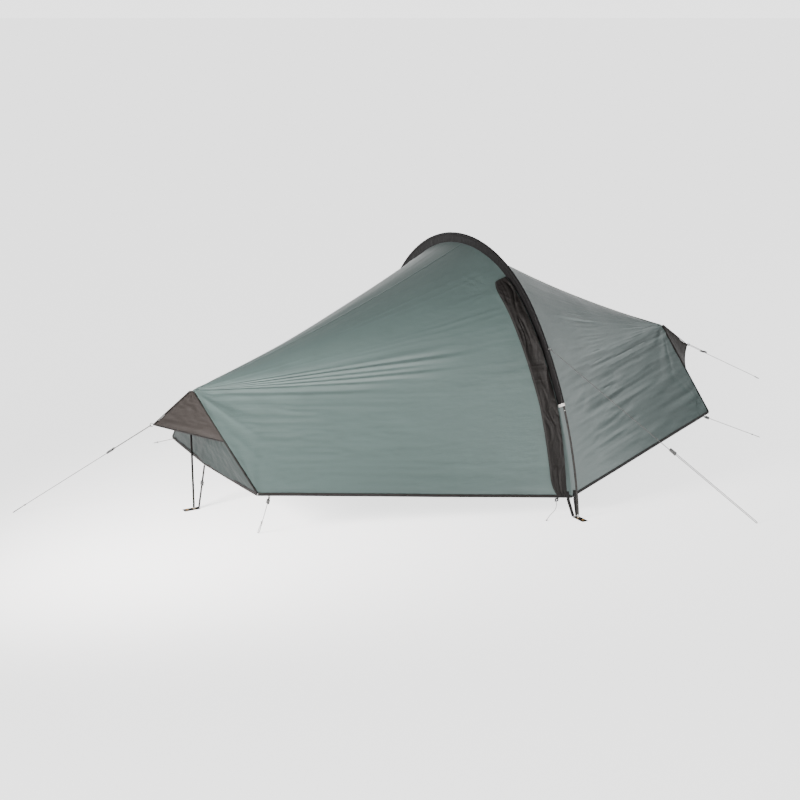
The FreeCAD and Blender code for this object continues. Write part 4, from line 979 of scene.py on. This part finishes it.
def corner_fan(points, centre, reach, height, spokes, seed):
    """Short folds that run out from a point where the cloth is pulled."""
    away = points - centre
    distance = np.linalg.norm(away, axis=-1)
    turn = np.arctan2(away[..., 2], np.abs(away[..., 0]) + np.abs(away[..., 1]))
    fade = smooth(distance, 0.01, 0.25 * reach) * (1 - smooth(distance, 0.4 * reach, reach))
    return height * fade * creases(turn * spokes, distance * 2.0, seed)


SWELL = 0.004
SEAM_PUCKER, SEAM_PITCH = 0.0011, 0.028
EDGE_PUCKER, EDGE_PITCH = 0.0012, 0.024
TAUT_SHARE = 0.01  # the cloth is flat at the seam, and folds reach their height by this share
TAUT_DOWN = 0.12  # and by this length below the ridge
FLY_SEEDS = {(LEFT, FRONT): 11, (LEFT, BACK): 23, (RIGHT, FRONT): 37, (RIGHT, BACK): 51}


def fly_relief(end, side, down, share, points):
    """The height of the folds over the smooth flysheet."""
    seed = FLY_SEEDS[(end, side)]
    past = down - KNEE_DOWN
    room = fold_room(down, share)
    height = SWELL * noise(down * 2.4, share * 2.8, seed) * np.sin(math.pi * share)
    for k, (low, high, start, stop, rise, pitch, run) in enumerate(FOLD_BANDS[(end, side)]):
        shown = window(past, low, high, 0.06, 0.06) * window(share, start, stop, 0.14, 0.10)
        patchy = 0.55 + 0.45 * noise(down * 9, share * 5, seed + 30 + k)
        height = height + rise * shown * patchy * room * creases(down / pitch, share / run, seed + 3 * k)
    if end == LEFT:
        for k, (at, width, rise, stop) in enumerate(DEEP_FOLDS):
            wander = at + 0.012 * noise(share * 3, k, seed + 60) * (1 - share)
            x = (past - wander) / width
            shown = window(share, stop, 0.93, 0.22, 0.05)
            height = height + rise * shown * room * (x * np.exp(-x * x) * 2.0 - 0.3 * np.exp(-x * x))
    seam = (1 - smooth(share, 0.0, 0.05)) * smooth(share, 0.0, 0.006)
    height = height + SEAM_PUCKER * seam * noise(down / SEAM_PITCH, share * 6, seed + 70)
    edge = smooth(share, 0.94, 0.985) * (1 - smooth(share, 0.992, 0.999))
    height = height + EDGE_PUCKER * edge * noise(down / EDGE_PITCH, share * 8, seed + 71)
    below_crown = fly_point(end, side, DOOR_TOP_DOWN + 0.06, 0.06)
    fans = [(hem_corner(end, side), 0.34, 0.0030, 7.0, 72), (apex(end), 0.50, 0.0040, 9.0, 74),
            (below_crown, 0.20, 0.0016, 6.0, 73)]
    for centre, reach, rise, spokes, number in fans:
        height = height + corner_fan(points, centre, reach, rise, spokes, seed + number)
    return height * smooth(share, 0.0, TAUT_SHARE) * smooth(down, 0.0, TAUT_DOWN)


def on_fly(end, side, down, share, lift=0.0):
    """Points lift metres above the folded flysheet."""
    down, share = np.broadcast_arrays(np.asarray(down, float), np.asarray(share, float))
    points = fly_point(end, side, down, share)
    step = 0.002
    along = fly_point(end, side, down, share + step) - fly_point(end, side, down, share - step)
    fall = points - fly_point(end, side, down - step, share)
    normal = unit(np.cross(along, fall))
    normal = normal * np.where(dot(normal, vec(0, side, 0.6)) < 0, -1, 1)[..., None]
    return points + normal * (fly_relief(end, side, down, share, points) + lift)[..., None]


def fly_cloth_patch(end, side, down, first):
    """The smooth grid and the relief from the shares in first to the end of the cloth."""
    steps = np.linspace(0, 1, int(round(LONGEST_FLY_ROW / GRID)) + 1)[None, :]
    share = first + (end_of_cloth(down) - first) * steps
    down = np.broadcast_to(down, share.shape)
    points = fly_point(end, side, down, share)
    return points, fly_relief(end, side, down, share, points)


def beside_the_zip(down):
    """The door cloth's edge: at the seam above the door, and under the flap beside the zip below it."""
    return SEAM_SHARE + DOOR_EDGE_SHARE * smooth(down, DOOR_TOP_DOWN, DOOR_TOP_DOWN + 0.05)


def flysheet():
    outward = {side: (0, side, 0.6) for side in SIDES}
    down = spaced_down(0.0, HEM_DOWN)
    front = cloth("flysheet_left_front", [fly_cloth_patch(LEFT, FRONT, down, beside_the_zip(down))],
                  outward[FRONT], "fly_cloth", None, ["fly_panel_left_front", "fly_door_panel"])
    over_the_fold(front)
    below = spaced_down(DOOR_TOP_DOWN + 0.01, HEM_DOWN)
    share = SEAM_SHARE + (FIXED_EDGE_SHARE - SEAM_SHARE) * np.linspace(0, 1, 5)[None, :]
    share = np.broadcast_to(share, (len(below), 5))
    below = np.broadcast_to(below, (len(below), 5))
    relief = 0.0008 * noise(below / 0.03, share * 40, 5)
    cloth("flysheet_strip_beside_zip", [(fly_point(LEFT, FRONT, below, share), relief)], outward[FRONT],
          "fly_cloth", "tent")
    for end, side in WITHOUT_DOOR:
        name = quarter(end, side)
        cloth("flysheet_" + name, [fly_cloth_patch(end, side, down, SEAM_SHARE)], outward[side],
              "fly_cloth", "tent", ["fly_panel_" + name])


def ridge_and_patches():
    """Felled seams along the ridge and the hoop's bare legs, and doubled cloth at the hem corners."""
    angle = np.linspace(SLEEVE_END_ANGLE - 0.01, HEM_ANGLE, 90)
    legs = [(on_arch(side * angle, SEAM_INSET - 0.0004), (1, 0, 0)) for side in SIDES]
    ribbons("leg_seams", legs, LEG_SEAM, "fly_cloth")
    for end, name in ENDS.items():
        share = np.linspace(0.004, 0.985, 90)
        points = fly_point(end, BACK, 0.0005, share) + vec(0, 0, 0.0006)
        ribbons("ridge_seam_" + name, [(points, (0, 1, 0))], RIDGE_SEAM, "fly_cloth")
    for end in ENDS:
        for side in SIDES:
            turn = np.linspace(0, 1, 22)[:, None]
            r = np.linspace(0.0, 1.0, 8)[None, :]
            share = 0.997 - 0.062 * r * np.cos(turn * math.pi / 2)
            down = HEM_DOWN - 0.001 - 0.070 * r * np.sin(turn * math.pi / 2)
            points = on_fly(end, side, down, share)
            cloth("corner_patch_" + quarter(end, side), [(points[:, 1:], 0.0)], (0, side, 0.6),
                  "fly_cloth", "tent", thickness=PATCH_CLOTH, lift=0.0009)


# --- Sleeve, storm flap and zip ---

SLEEVE_TUBE = 0.0064
SLEEVE_NECK = math.radians(151)
FIN_FOOT_HALF = 0.0009
FIN_FOOT_INSET = 0.0448
BAND_LENGTH = 0.012
FLAP_TOP_DOWN = DOOR_TOP_DOWN + 0.028
FLAP_WIDTH = 0.062
FLAP_EDGE = 0.005
FLAP_FOOT_EDGE = 0.024
FLAP_LIFT = 0.0040
ZIP_TOP_ANGLE = DOOR_TOP_ANGLE + 0.100 / CROWN_RADIUS
ZIP_FOOT_ANGLE = HEM_ANGLE - 0.004 / LEG_RADIUS
DOOR_TAPE_FOOT_ANGLE = ZIP_FOOT_ANGLE - 0.038 / LEG_RADIUS
TAPE_OFFSET = 0.0085  # the tape's middle from the zip's middle
COIL = 0.0012
COIL_OVERLAP = 0.0004


def sleeve_patch(first, last, grow=0.0):
    """The sleeve between two angles: one fold of cloth, up the fin, round the pole and down the fin."""
    steps = max(4, int(abs(last - first) / 0.007))
    angle = np.linspace(first, last, steps)[:, None]
    round_pole = np.linspace(-SLEEVE_NECK, SLEEVE_NECK, 15)
    x_round = (SLEEVE_TUBE + grow) * np.sin(round_pole)
    inset_round = POLE_INSET - (SLEEVE_TUBE + grow) * np.cos(round_pole)
    fin = np.linspace(0, 1, 7)[:-1]
    x_fin = FIN_FOOT_HALF + grow + (x_round[-1] - FIN_FOOT_HALF) * fin
    inset_fin = FIN_FOOT_INSET + (inset_round[-1] - FIN_FOOT_INSET) * fin
    x = np.concatenate([-x_fin, x_round, x_fin[::-1]])[None, :]
    inset = np.concatenate([inset_fin, inset_round, inset_fin[::-1]])[None, :]
    run = angle * LEG_RADIUS
    sway = smooth(inset, 0.010, 0.022) * (1 - smooth(inset, 0.032, 0.041))
    x = x + 0.0012 * sway * noise(run / 0.022, inset / 0.012, 81)
    relief = 0.0004 * noise(run / 0.012, inset / 0.010, 82) + 0.0002 * noise(run / 0.004, inset / 0.006, 83)
    return on_arch(np.broadcast_to(angle, x.shape), inset, x), np.broadcast_to(relief, x.shape)


def sleeve():
    cloth("sleeve", [sleeve_patch(-SLEEVE_END_ANGLE, SLEEVE_END_ANGLE)], (0, 0, 1), "sleeve_cloth", "tent",
          ["pole_sleeve"], thickness=SLEEVE_CLOTH)
    stop = SLEEVE_END_ANGLE - 0.002 / LEG_RADIUS
    bands = [sleeve_patch(side * stop, side * (stop + BAND_LENGTH / LEG_RADIUS), 0.0007) for side in SIDES]
    cloth("sleeve_bands", bands, (0, 0, 1), "pale_tape", "tent", ["sleeve_end_bands"],
          thickness=BAND_TAPE)


def flap_sides(down):
    """The shares of the flap's free edge and of its sewn edge, which curve together at both ends."""
    past = np.maximum(0, (angle_at(down) - SLEEVE_END_ANGLE) / (HEM_ANGLE - SLEEVE_END_ANGLE))
    free = FLAP_EDGE + (FLAP_FOOT_EDGE - FLAP_EDGE) * past
    width = FLAP_WIDTH
    for distance, reach, least in ((down - DOOR_TOP_DOWN, 0.110, 0.020), (HEM_DOWN - down, 0.075, 0.028)):
        bulge = np.sqrt(1 - (1 - np.clip(distance / reach, 0, 1)) ** 2)
        width = np.minimum(width, least + (width - least) * bulge)
    return free / length_to(LEFT), (free + width) / length_to(LEFT)


def storm_flap():
    down = spaced_down(FLAP_TOP_DOWN, HEM_DOWN - 0.001, GRID * 0.4)
    free, sewn = flap_sides(down)
    across = np.linspace(0, 1, 34)[None, :]
    share = free + (sewn - free) * across
    down = np.broadcast_to(down, share.shape)
    points = on_fly(LEFT, FRONT, down, share, FLAP_LIFT)
    metres = across * FLAP_WIDTH
    loose = 0.35 + 0.65 * np.sqrt(1 - across)
    wander = 0.8 * noise(down / 0.11, metres / 0.06, 97)
    long_folds = 0.0088 * np.abs(creases(down / 0.260, metres / 0.034 + wander, 91))
    short_folds = 0.0030 * np.abs(creases(down / 0.060 - metres / 0.05, metres / 0.026 + wander, 94))
    bulges = 0.0100 * (0.5 + 0.5 * noise(down / 0.18, metres / 0.036, 96))
    relief = (long_folds + short_folds + bulges) * loose * smooth(1 - across, 0.0, 0.12)
    flap = cloth("storm_flap_cloth", [(points, relief)], (0, FRONT, 0.6), "flap_cloth", None,
                 ["storm_flap"])
    over_the_fold(flap)


def zip_line(x, angle):
    return on_arch(-angle, SEAM_INSET + ZIP_INSET, -x)


def zip_half(name, foot_angle, middle, web_share, body, replaced, toward):
    """One tape with its row of coil, and the narrow web of cloth that it is sewn to."""
    outline, coil = rounded(*ZIP_TAPE), circle(COIL, 8)
    angle = np.linspace(ZIP_TOP_ANGLE, foot_angle, 150)
    tape = zip_line(middle, angle)
    edge = zip_line(middle + toward * (ZIP_TAPE[0] / 2 - COIL_OVERLAP), angle)
    made = new_object(name + "_tape", ribbon_mesh(tape, (1, 0, 0), outline), "zip_tape", body)
    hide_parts(replaced)
    teeth = new_object(name + "_coil", ribbon_mesh(edge, (1, 0, 0), coil), "zip_coil", body)
    top = on_fly(LEFT, FRONT, arc_length(angle)[:, None], web_share, -0.0012)
    across = np.linspace(0, 1, 6)[None, :, None]
    bow = vec(-0.004, 0, 0) * toward * np.sin(math.pi * across)
    points = top + (tape[:, None, :] - top) * across + bow
    web = cloth(name + "_web", [(points, 0.0)], (-toward, 0, 0), "flap_cloth", body,
                thickness=WEB_CLOTH)
    return [made, teeth, web]


def zips():
    zip_half("fly_zip_fixed", ZIP_FOOT_ANGLE, ZIP_X - TAPE_OFFSET, FIXED_EDGE_SHARE, "tent",
             "fly_zip_tape_fixed", 1)
    pieces = zip_half("fly_zip_door", DOOR_TAPE_FOOT_ANGLE, ZIP_X + TAPE_OFFSET, DOOR_EDGE_SHARE, None,
                      "fly_zip_tape_door", -1)
    for piece in pieces:
        over_the_fold(piece)


# --- Ends: panels, vents, hoods and their edges ---

END_STAND_OFF = 0.003
VENT_TOP_SHARE = 0.12
VENT_FOOT_SHARE = 0.50
HEM_DROP = 0.0021  # the cloth's edge to the tape's middle
HEM_STEP = 0.010


def end_edge(end, side, down, out=0.0):
    """Points of the end's edge, down of the way from apex to corner, out metres beyond it."""
    down = np.asarray(down, float)[..., None]
    return apex(end) + (hem_corner(end, side) - apex(end)) * down + vec(end * out, 0, 0)


def end_grid(end, down, across):
    """Rows across the end, from its front edge to its back one; they bow out to the hem's middle."""
    down, across = np.broadcast_arrays(np.asarray(down, float), np.asarray(across, float))
    first, last = (end_edge(end, side, down, END_STAND_OFF) for side in (FRONT, BACK))
    straight = (end_edge(end, FRONT, 1.0, END_STAND_OFF) + end_edge(end, BACK, 1.0, END_STAND_OFF)) / 2
    foot = vec(end * (HALF_LENGTH - HEM_MIDDLE_IN + END_STAND_OFF), 0, HEM_MIDDLE_Z)
    pull = (foot - straight) * (down ** 3)[..., None]
    spread = ((1 - np.abs(across)) ** 0.8)[..., None]
    return (first + last) / 2 + (last - first) * across[..., None] / 2 + pull * spread


def end_piping(name, end, first, last, strip, look):
    """A strip down both edges of an end."""
    down = np.linspace(first, last, 60)
    edges = [(end_edge(end, side, down, END_STAND_OFF * 0.4), (end, 0, 0)) for side in SIDES]
    ribbons(name, edges, strip, look)


def end_panels():
    across = np.linspace(-1, 1, 72)[None, :]
    for end, name in ENDS.items():
        low = np.linspace(VENT_FOOT_SHARE, 0.998, 34)[:, None]
        relief = 0.004 * noise(low * 6, across * 2.5, 101) + 0.0018 * creases(low * 9, across * 9, 102)
        relief = (relief + 0.0016 * creases(across * 14, low * 3, 103)) * smooth(1 - np.abs(across), 0, 0.12)
        hem = end_grid(end, 1.0, across[0]) - vec(0, 0, HEM_DROP)
        tape = ribbons("hem_tape_" + name + "_end", [(hem, (0, 0, 1))], EDGE_TAPE, "edge_tape")
        # The end panel's cloth is painted dark: painted shade from the hood above it.
        cloth(name + "_end_cloth", [(end_grid(end, low, across), relief)], (end, 0, 0),
              "end_cloth", "tent", [name + "_end_panel"],
              thickness=END_CLOTH)
        high = np.linspace(VENT_TOP_SHARE, VENT_FOOT_SHARE - 0.004, 24)[:, None]
        relief = 0.0014 * noise(high * 12, across * 4, 104)
        cloth(name + "_vent_net", [(end_grid(end, high, across), relief)], (end, 0, 0), "vent_mesh", "tent",
              [name + "_vent_mesh"], thickness=VENT_NET)
        end_piping(name + "_end_piping", end, VENT_FOOT_SHARE, 0.995, PIPING, "edge_tape")
        end_piping(name + "_hood_joint", end, 0.02, VENT_FOOT_SHARE, HOOD_JOINT, "hood_cloth")


def hood_rows(end, side, t, u):
    """Half of a hood: t from the apex to the outer edge, u from the ridge to the low edge."""
    top = apex(end) + vec(end * 0.004, side * 0.0002, 0.003)
    low = end_edge(end, side, VENT_FOOT_SHARE, 0.004) + vec(end * 0.002, side * 0.002, 0)
    t, u = np.broadcast_arrays(t, u)
    first = top + (hood_tip(end) - top) * t[..., None]
    last = top + (low - top) * t[..., None]
    sag = vec(-end * 0.005, -side * 0.005, -0.004) * (4 * u * (1 - u) * t)[..., None]
    return first + (last - first) * u[..., None] + sag


def hoods():
    t = np.linspace(0.04, 1.0, 40)[:, None]
    u = np.linspace(0, 1, 26)
    for end, name in ENDS.items():
        halves = [hood_rows(end, FRONT, t, u[None, ::-1]), hood_rows(end, BACK, t, u[None, 1:])]
        points = np.concatenate(halves, axis=1)
        place = np.linspace(-1, 1, points.shape[1])[None, :]
        relief = 0.0032 * noise(t * 3.5, place * 3, 111) * t + 0.0014 * creases(t * 10, place * 7, 112)
        relief = relief * smooth(1 - np.abs(place), 0, 0.15) * (1 - smooth(t, 0.86, 1.0))
        rim = points[-1] - vec(0, 0, 0.0012)
        seam = points[:, 25] + vec(0, 0, 0.0008)
        binding = ribbons(name + "_hood_binding", [(rim, (end, 0, -0.9))], HOOD_BINDING, "edge_tape")
        ridge = ribbons(name + "_hood_seam", [(seam, (0, 1, 0))], HOOD_SEAM, "hood_cloth")
        cloth(name + "_hood_cloth", [(points, relief)], (end, 0, 1.0), "hood_cloth", "tent",
              [name + "_hood"],
              thickness=HOOD_CLOTH)


# --- Hems and webbing ---


def hem_tape(name, end, side, first, last, body="tent"):
    """The binding along one quarter's hem, between two shares."""
    share = np.linspace(first, last, max(4, int((last - first) * length_to(end) / HEM_STEP)))
    points = on_fly(end, side, HEM_DOWN, share) - vec(0, 0, HEM_DROP)
    return ribbons(name, [(points, (0, 0, 1))], EDGE_TAPE, "edge_tape", body)


def hems():
    door_hem = hem_tape("hem_tape_left_front", LEFT, FRONT, DOOR_EDGE_SHARE, 1.0, None)
    over_the_fold(door_hem)
    fixed = hem_tape("hem_tape_beside_zip", LEFT, FRONT, 0.0, (ZIP_X + 0.001) / length_to(LEFT))
    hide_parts("hem_binding")
    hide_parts("door_hem_binding")
    for end, side in WITHOUT_DOOR:
        hem_tape("hem_tape_" + quarter(end, side), end, side, 0.0, 1.0)


def foot_loops():
    """Two webbing loops at each side of the hoop, sewn over the hem, that run down to the foot's straps."""
    y, z = arc_point(HEM_ANGLE)
    for side, name in SIDES.items():
        runs = []
        for x in (-1, 1):
            top = (HOOP_X + x * 0.0185, side * (y - 0.006), z + 0.020)
            foot = (HOOP_X + x * 0.0165, side * (y + 0.003), z - 0.022)
            runs.append((line(top, foot, 8), (1, 0, 0)))
        ribbons("hem_loops_" + name, runs, HEM_LOOP, "webbing")


# --- Inner tent ---

TRAY_OUTLINE = [(-0.930, 0.060), (-0.455, -0.270), (1.010, -0.270), (1.010, 0.320), (HOOP_X, 0.640),
                (-0.930, 0.400)]
TRAY_HEIGHT = 0.110
TRAY_CLOTH = 0.0020
TRAY_ROUND = 0.045
TRAY_STEP = 0.03
INNER_CLOTH = 0.0010
WALL_STEPS = 34
FRONT_LEAN = 0.19
LEFT_PEAK = vec(-0.905, 0.170, 0.400)
RIGHT_PEAK = vec(0.985, 0.040, 0.465)
TOP_BACK = vec(HOOP_X, 0.150, 0.905)
SHOULDER = vec(HOOP_X, 0.520, 0.560)
INNER_DOOR_X = (-0.400, 0.030)
INNER_DOOR_Z = (0.150, 0.540)


def front_wall_y(z):
    return TRAY_OUTLINE[1][1] + FRONT_LEAN * (z - TRAY_HEIGHT)


FRONT_LEFT = vec(-0.455, front_wall_y(0.560), 0.560)
FRONT_TOP = vec(HOOP_X, front_wall_y(0.850), 0.850)
FRONT_RIGHT = vec(1.000, front_wall_y(0.340), 0.340)


def tray_corner(index):
    x, y = TRAY_OUTLINE[index]
    return vec(x, y, TRAY_HEIGHT + 0.0006)


def wall_patch(corners, seed, sag):
    """A sagging sheet between four corners; for a triangle the last corner is given twice."""
    a, b, c, d = corners
    steps = np.linspace(0.002, 0.998, WALL_STEPS)
    s, t = steps[None, :, None], steps[:, None, None]
    points = (a * (1 - s) + b * s) * (1 - t) + (d * (1 - s) + c * s) * t
    room = (16 * s * (1 - s) * t * (1 - t))[..., 0]
    s, t = s[..., 0], t[..., 0]
    relief = -sag * room + 0.0045 * noise(s * 4, t * 4, seed) * np.sqrt(room)
    relief = relief + 0.0016 * creases(s * 9 + t * 4, t * 7, seed + 1) * np.sqrt(room)
    return points, relief


def inner_piece(name, patches, outward, look, replaced, body="tent"):
    """A hung sheet of the inner tent."""
    cloth(name, patches, outward, look, body, replaced,
          thickness=INNER_CLOTH, lift=INNER_CLOTH)


def wall_pieces(name, sheets, look, replaced, sag=0.006):
    """Each sheet, as (corners, outward), as a piece of its own."""
    for k, (corners, outward) in enumerate(sheets):
        corners = corners if len(corners) == 4 else [*corners, corners[-1]]
        patch = wall_patch(corners, 120 + 7 * k, sag)
        inner_piece(name + "_" + str(k + 1), [patch], outward, look, [replaced] if k == 0 else ())


def rounded_outline(corners):
    """A closed outline with its corners rounded off, in steps of about TRAY_STEP."""
    rim = []
    t = np.linspace(0, 1, 7)[:, None]
    for before, at, after in zip(np.roll(corners, 1, 0), corners, np.roll(corners, -1, 0)):
        start, stop = at + unit(before - at) * TRAY_ROUND, at + unit(after - at) * TRAY_ROUND
        rim.append(start * (1 - t) ** 2 + at * 2 * t * (1 - t) + stop * t * t)
    rim = np.vstack(rim)
    steps = [rim[0]]
    for a, b in zip(rim, np.roll(rim, -1, 0)):
        pieces = max(1, int(np.linalg.norm(b - a) / TRAY_STEP))
        steps += [a + (b - a) * k / pieces for k in range(1, pieces + 1)]
    return np.array(steps)


def tray():
    """The floor with its upright sides, as one sheet with rounded corners."""
    outline = vec(*[(x, y, 0) for x, y in TRAY_OUTLINE])
    rim = rounded_outline(outline)
    middle = outline.mean(0)
    inside = unit(middle - rim) * 0.006
    floor_z = vec(0, 0, TRAY_CLOTH)
    rings = [middle + (rim + inside - middle) * s + floor_z for s in np.linspace(0.02, 0.97, 22)]
    wobble = 0.0035 * noise(np.arange(len(rim))[:, None] / 4, 0.5, 131)
    for z in (0.0045, 0.012, 0.03, 0.055, 0.08, TRAY_HEIGHT - 0.001):
        share = z / TRAY_HEIGHT
        lean = inside * (1 + 0.25 * math.sin(math.pi * z / TRAY_HEIGHT)) + unit(inside) * wobble * share
        rings.append(rim + lean * 0.6 + vec(0, 0, z))
    points = np.array(rings)
    relief = np.zeros(points.shape[:2])
    relief[1:20] = 0.0012 * np.abs(noise(points[1:20, :, 0] / 0.09, points[1:20, :, 1] / 0.09, 133))
    cloth("tray_cloth", [(points, relief)], (0, 0, 1), "tray_cloth", "tent", ["inner_tray"],
          thickness=TRAY_CLOTH * 0.7)


def on_front_wall(x, z, seed):
    """A grid on the leaning front wall, with its folds."""
    x, z = np.broadcast_arrays(np.asarray(x, float), np.asarray(z, float))
    points = np.stack([x, front_wall_y(z), z], -1)
    relief = 0.003 * noise(x * 4, z * 5, seed) + 0.0014 * creases(x * 14, z * 5, seed + 1)
    return points, relief


def roof_z(x):
    """The height of the front wall's top edge, just under the roof."""
    edges = []
    for first, last in ((FRONT_LEFT, FRONT_TOP), (FRONT_TOP, FRONT_RIGHT)):
        edges.append(first[2] + (last[2] - first[2]) * (x - first[0]) / (last[0] - first[0]))
    return np.minimum(*edges) - 0.0015


def front_wall():
    """Four patches round the door's opening, and the door."""
    left, right = INNER_DOOR_X
    low, high = INNER_DOOR_Z

    def patch(x_low, x_high, z_low, z_high=None):
        """Up to a height, or to the roof where none is given."""
        x = np.linspace(x_low, x_high, max(4, int((x_high - x_low) / 0.022)))[None, :]
        t = np.linspace(0, 1, 20)[:, None]
        top = z_high or roof_z(x)
        return on_front_wall(x, z_low + (top - z_low) * t, 141)

    foot = TRAY_HEIGHT + 0.0016
    patches = [patch(-0.453, left, foot), patch(left, right, foot, low), patch(left, right, high),
               patch(right, 1.006, foot)]
    edges = rectangle_line(left, right, low, high)
    outward = (0, -1, FRONT_LEAN)
    binding = ribbons("inner_door_frame", [(edges, outward)], DOOR_FRAME, "edge_tape")
    inner_piece("inner_front_cloth", patches, outward, "inner_cloth", ["inner_front_wall"])
    x = np.linspace(left + 0.004, right - 0.011, 40)[None, :]
    z = np.linspace(low + 0.004, high - 0.004, 36)[:, None]
    points, relief = on_front_wall(x, z, 145)
    inner_piece("inner_door_cloth", [(points, relief * 0.7)], outward, "inner_cloth", ["inner_door"],
                "inner_door_body")


def rectangle_line(x_low, x_high, z_low, z_high):
    """A closed line round a rectangle on the front wall, with small rounded corners."""
    r = 0.012
    places = []
    corners = [(x_high, z_low, -90), (x_high, z_high, 0), (x_low, z_high, 90), (x_low, z_low, 180)]
    for x, z, start in corners:
        centre_x = x + (r if x == x_low else -r)
        centre_z = z + (r if z == z_low else -r)
        for k in range(5):
            turn = math.radians(start + 22.5 * k)
            places.append((centre_x + r * math.cos(turn), centre_z + r * math.sin(turn)))
    places.append(places[0])
    dense = []
    for (x0, z0), (x1, z1) in zip(places, places[1:]):
        count = max(1, int(math.hypot(x1 - x0, z1 - z0) / 0.03))
        dense += [(x0 + (x1 - x0) * k / count, z0 + (z1 - z0) * k / count) for k in range(count)]
    return np.array([(x, front_wall_y(z) - 0.0008, z) for x, z in dense])


def inner_tent():
    tray()
    front_wall()
    roof = [([FRONT_LEFT, LEFT_PEAK, TOP_BACK, FRONT_TOP], (-0.4, 0, 1)),
            ([FRONT_TOP, TOP_BACK, RIGHT_PEAK, FRONT_RIGHT], (0.4, 0, 1))]
    wall_pieces("inner_roof_net", roof, "inner_mesh", "inner_roof", 0.012)
    back = [([tray_corner(5), tray_corner(4), SHOULDER, LEFT_PEAK], (0, 1, 0.3)),
            ([tray_corner(4), tray_corner(3), RIGHT_PEAK, SHOULDER], (0, 1, 0.3)),
            ([LEFT_PEAK, SHOULDER, TOP_BACK], (0, 1, 0.3)),
            ([SHOULDER, RIGHT_PEAK, TOP_BACK], (0, 1, 0.3))]
    wall_pieces("inner_back", back, "inner_cloth", "inner_back_wall")
    ends = [([tray_corner(0), tray_corner(5), LEFT_PEAK], (-1, 0, 0.3)),
            ([tray_corner(1), tray_corner(0), LEFT_PEAK, FRONT_LEFT], (-1, -0.5, 0.2)),
            ([tray_corner(2), tray_corner(3), RIGHT_PEAK, FRONT_RIGHT], (1, 0, 0.3))]
    wall_pieces("inner_end", ends, "inner_cloth", "inner_end_walls")


# --- The scene ---


camera()
cords()
dress_cad_nodes()
flysheet()
ridge_and_patches()
sleeve()
storm_flap()
zips()
end_panels()
hoods()
hems()
foot_loops()
inner_tent()
lights()
floor()
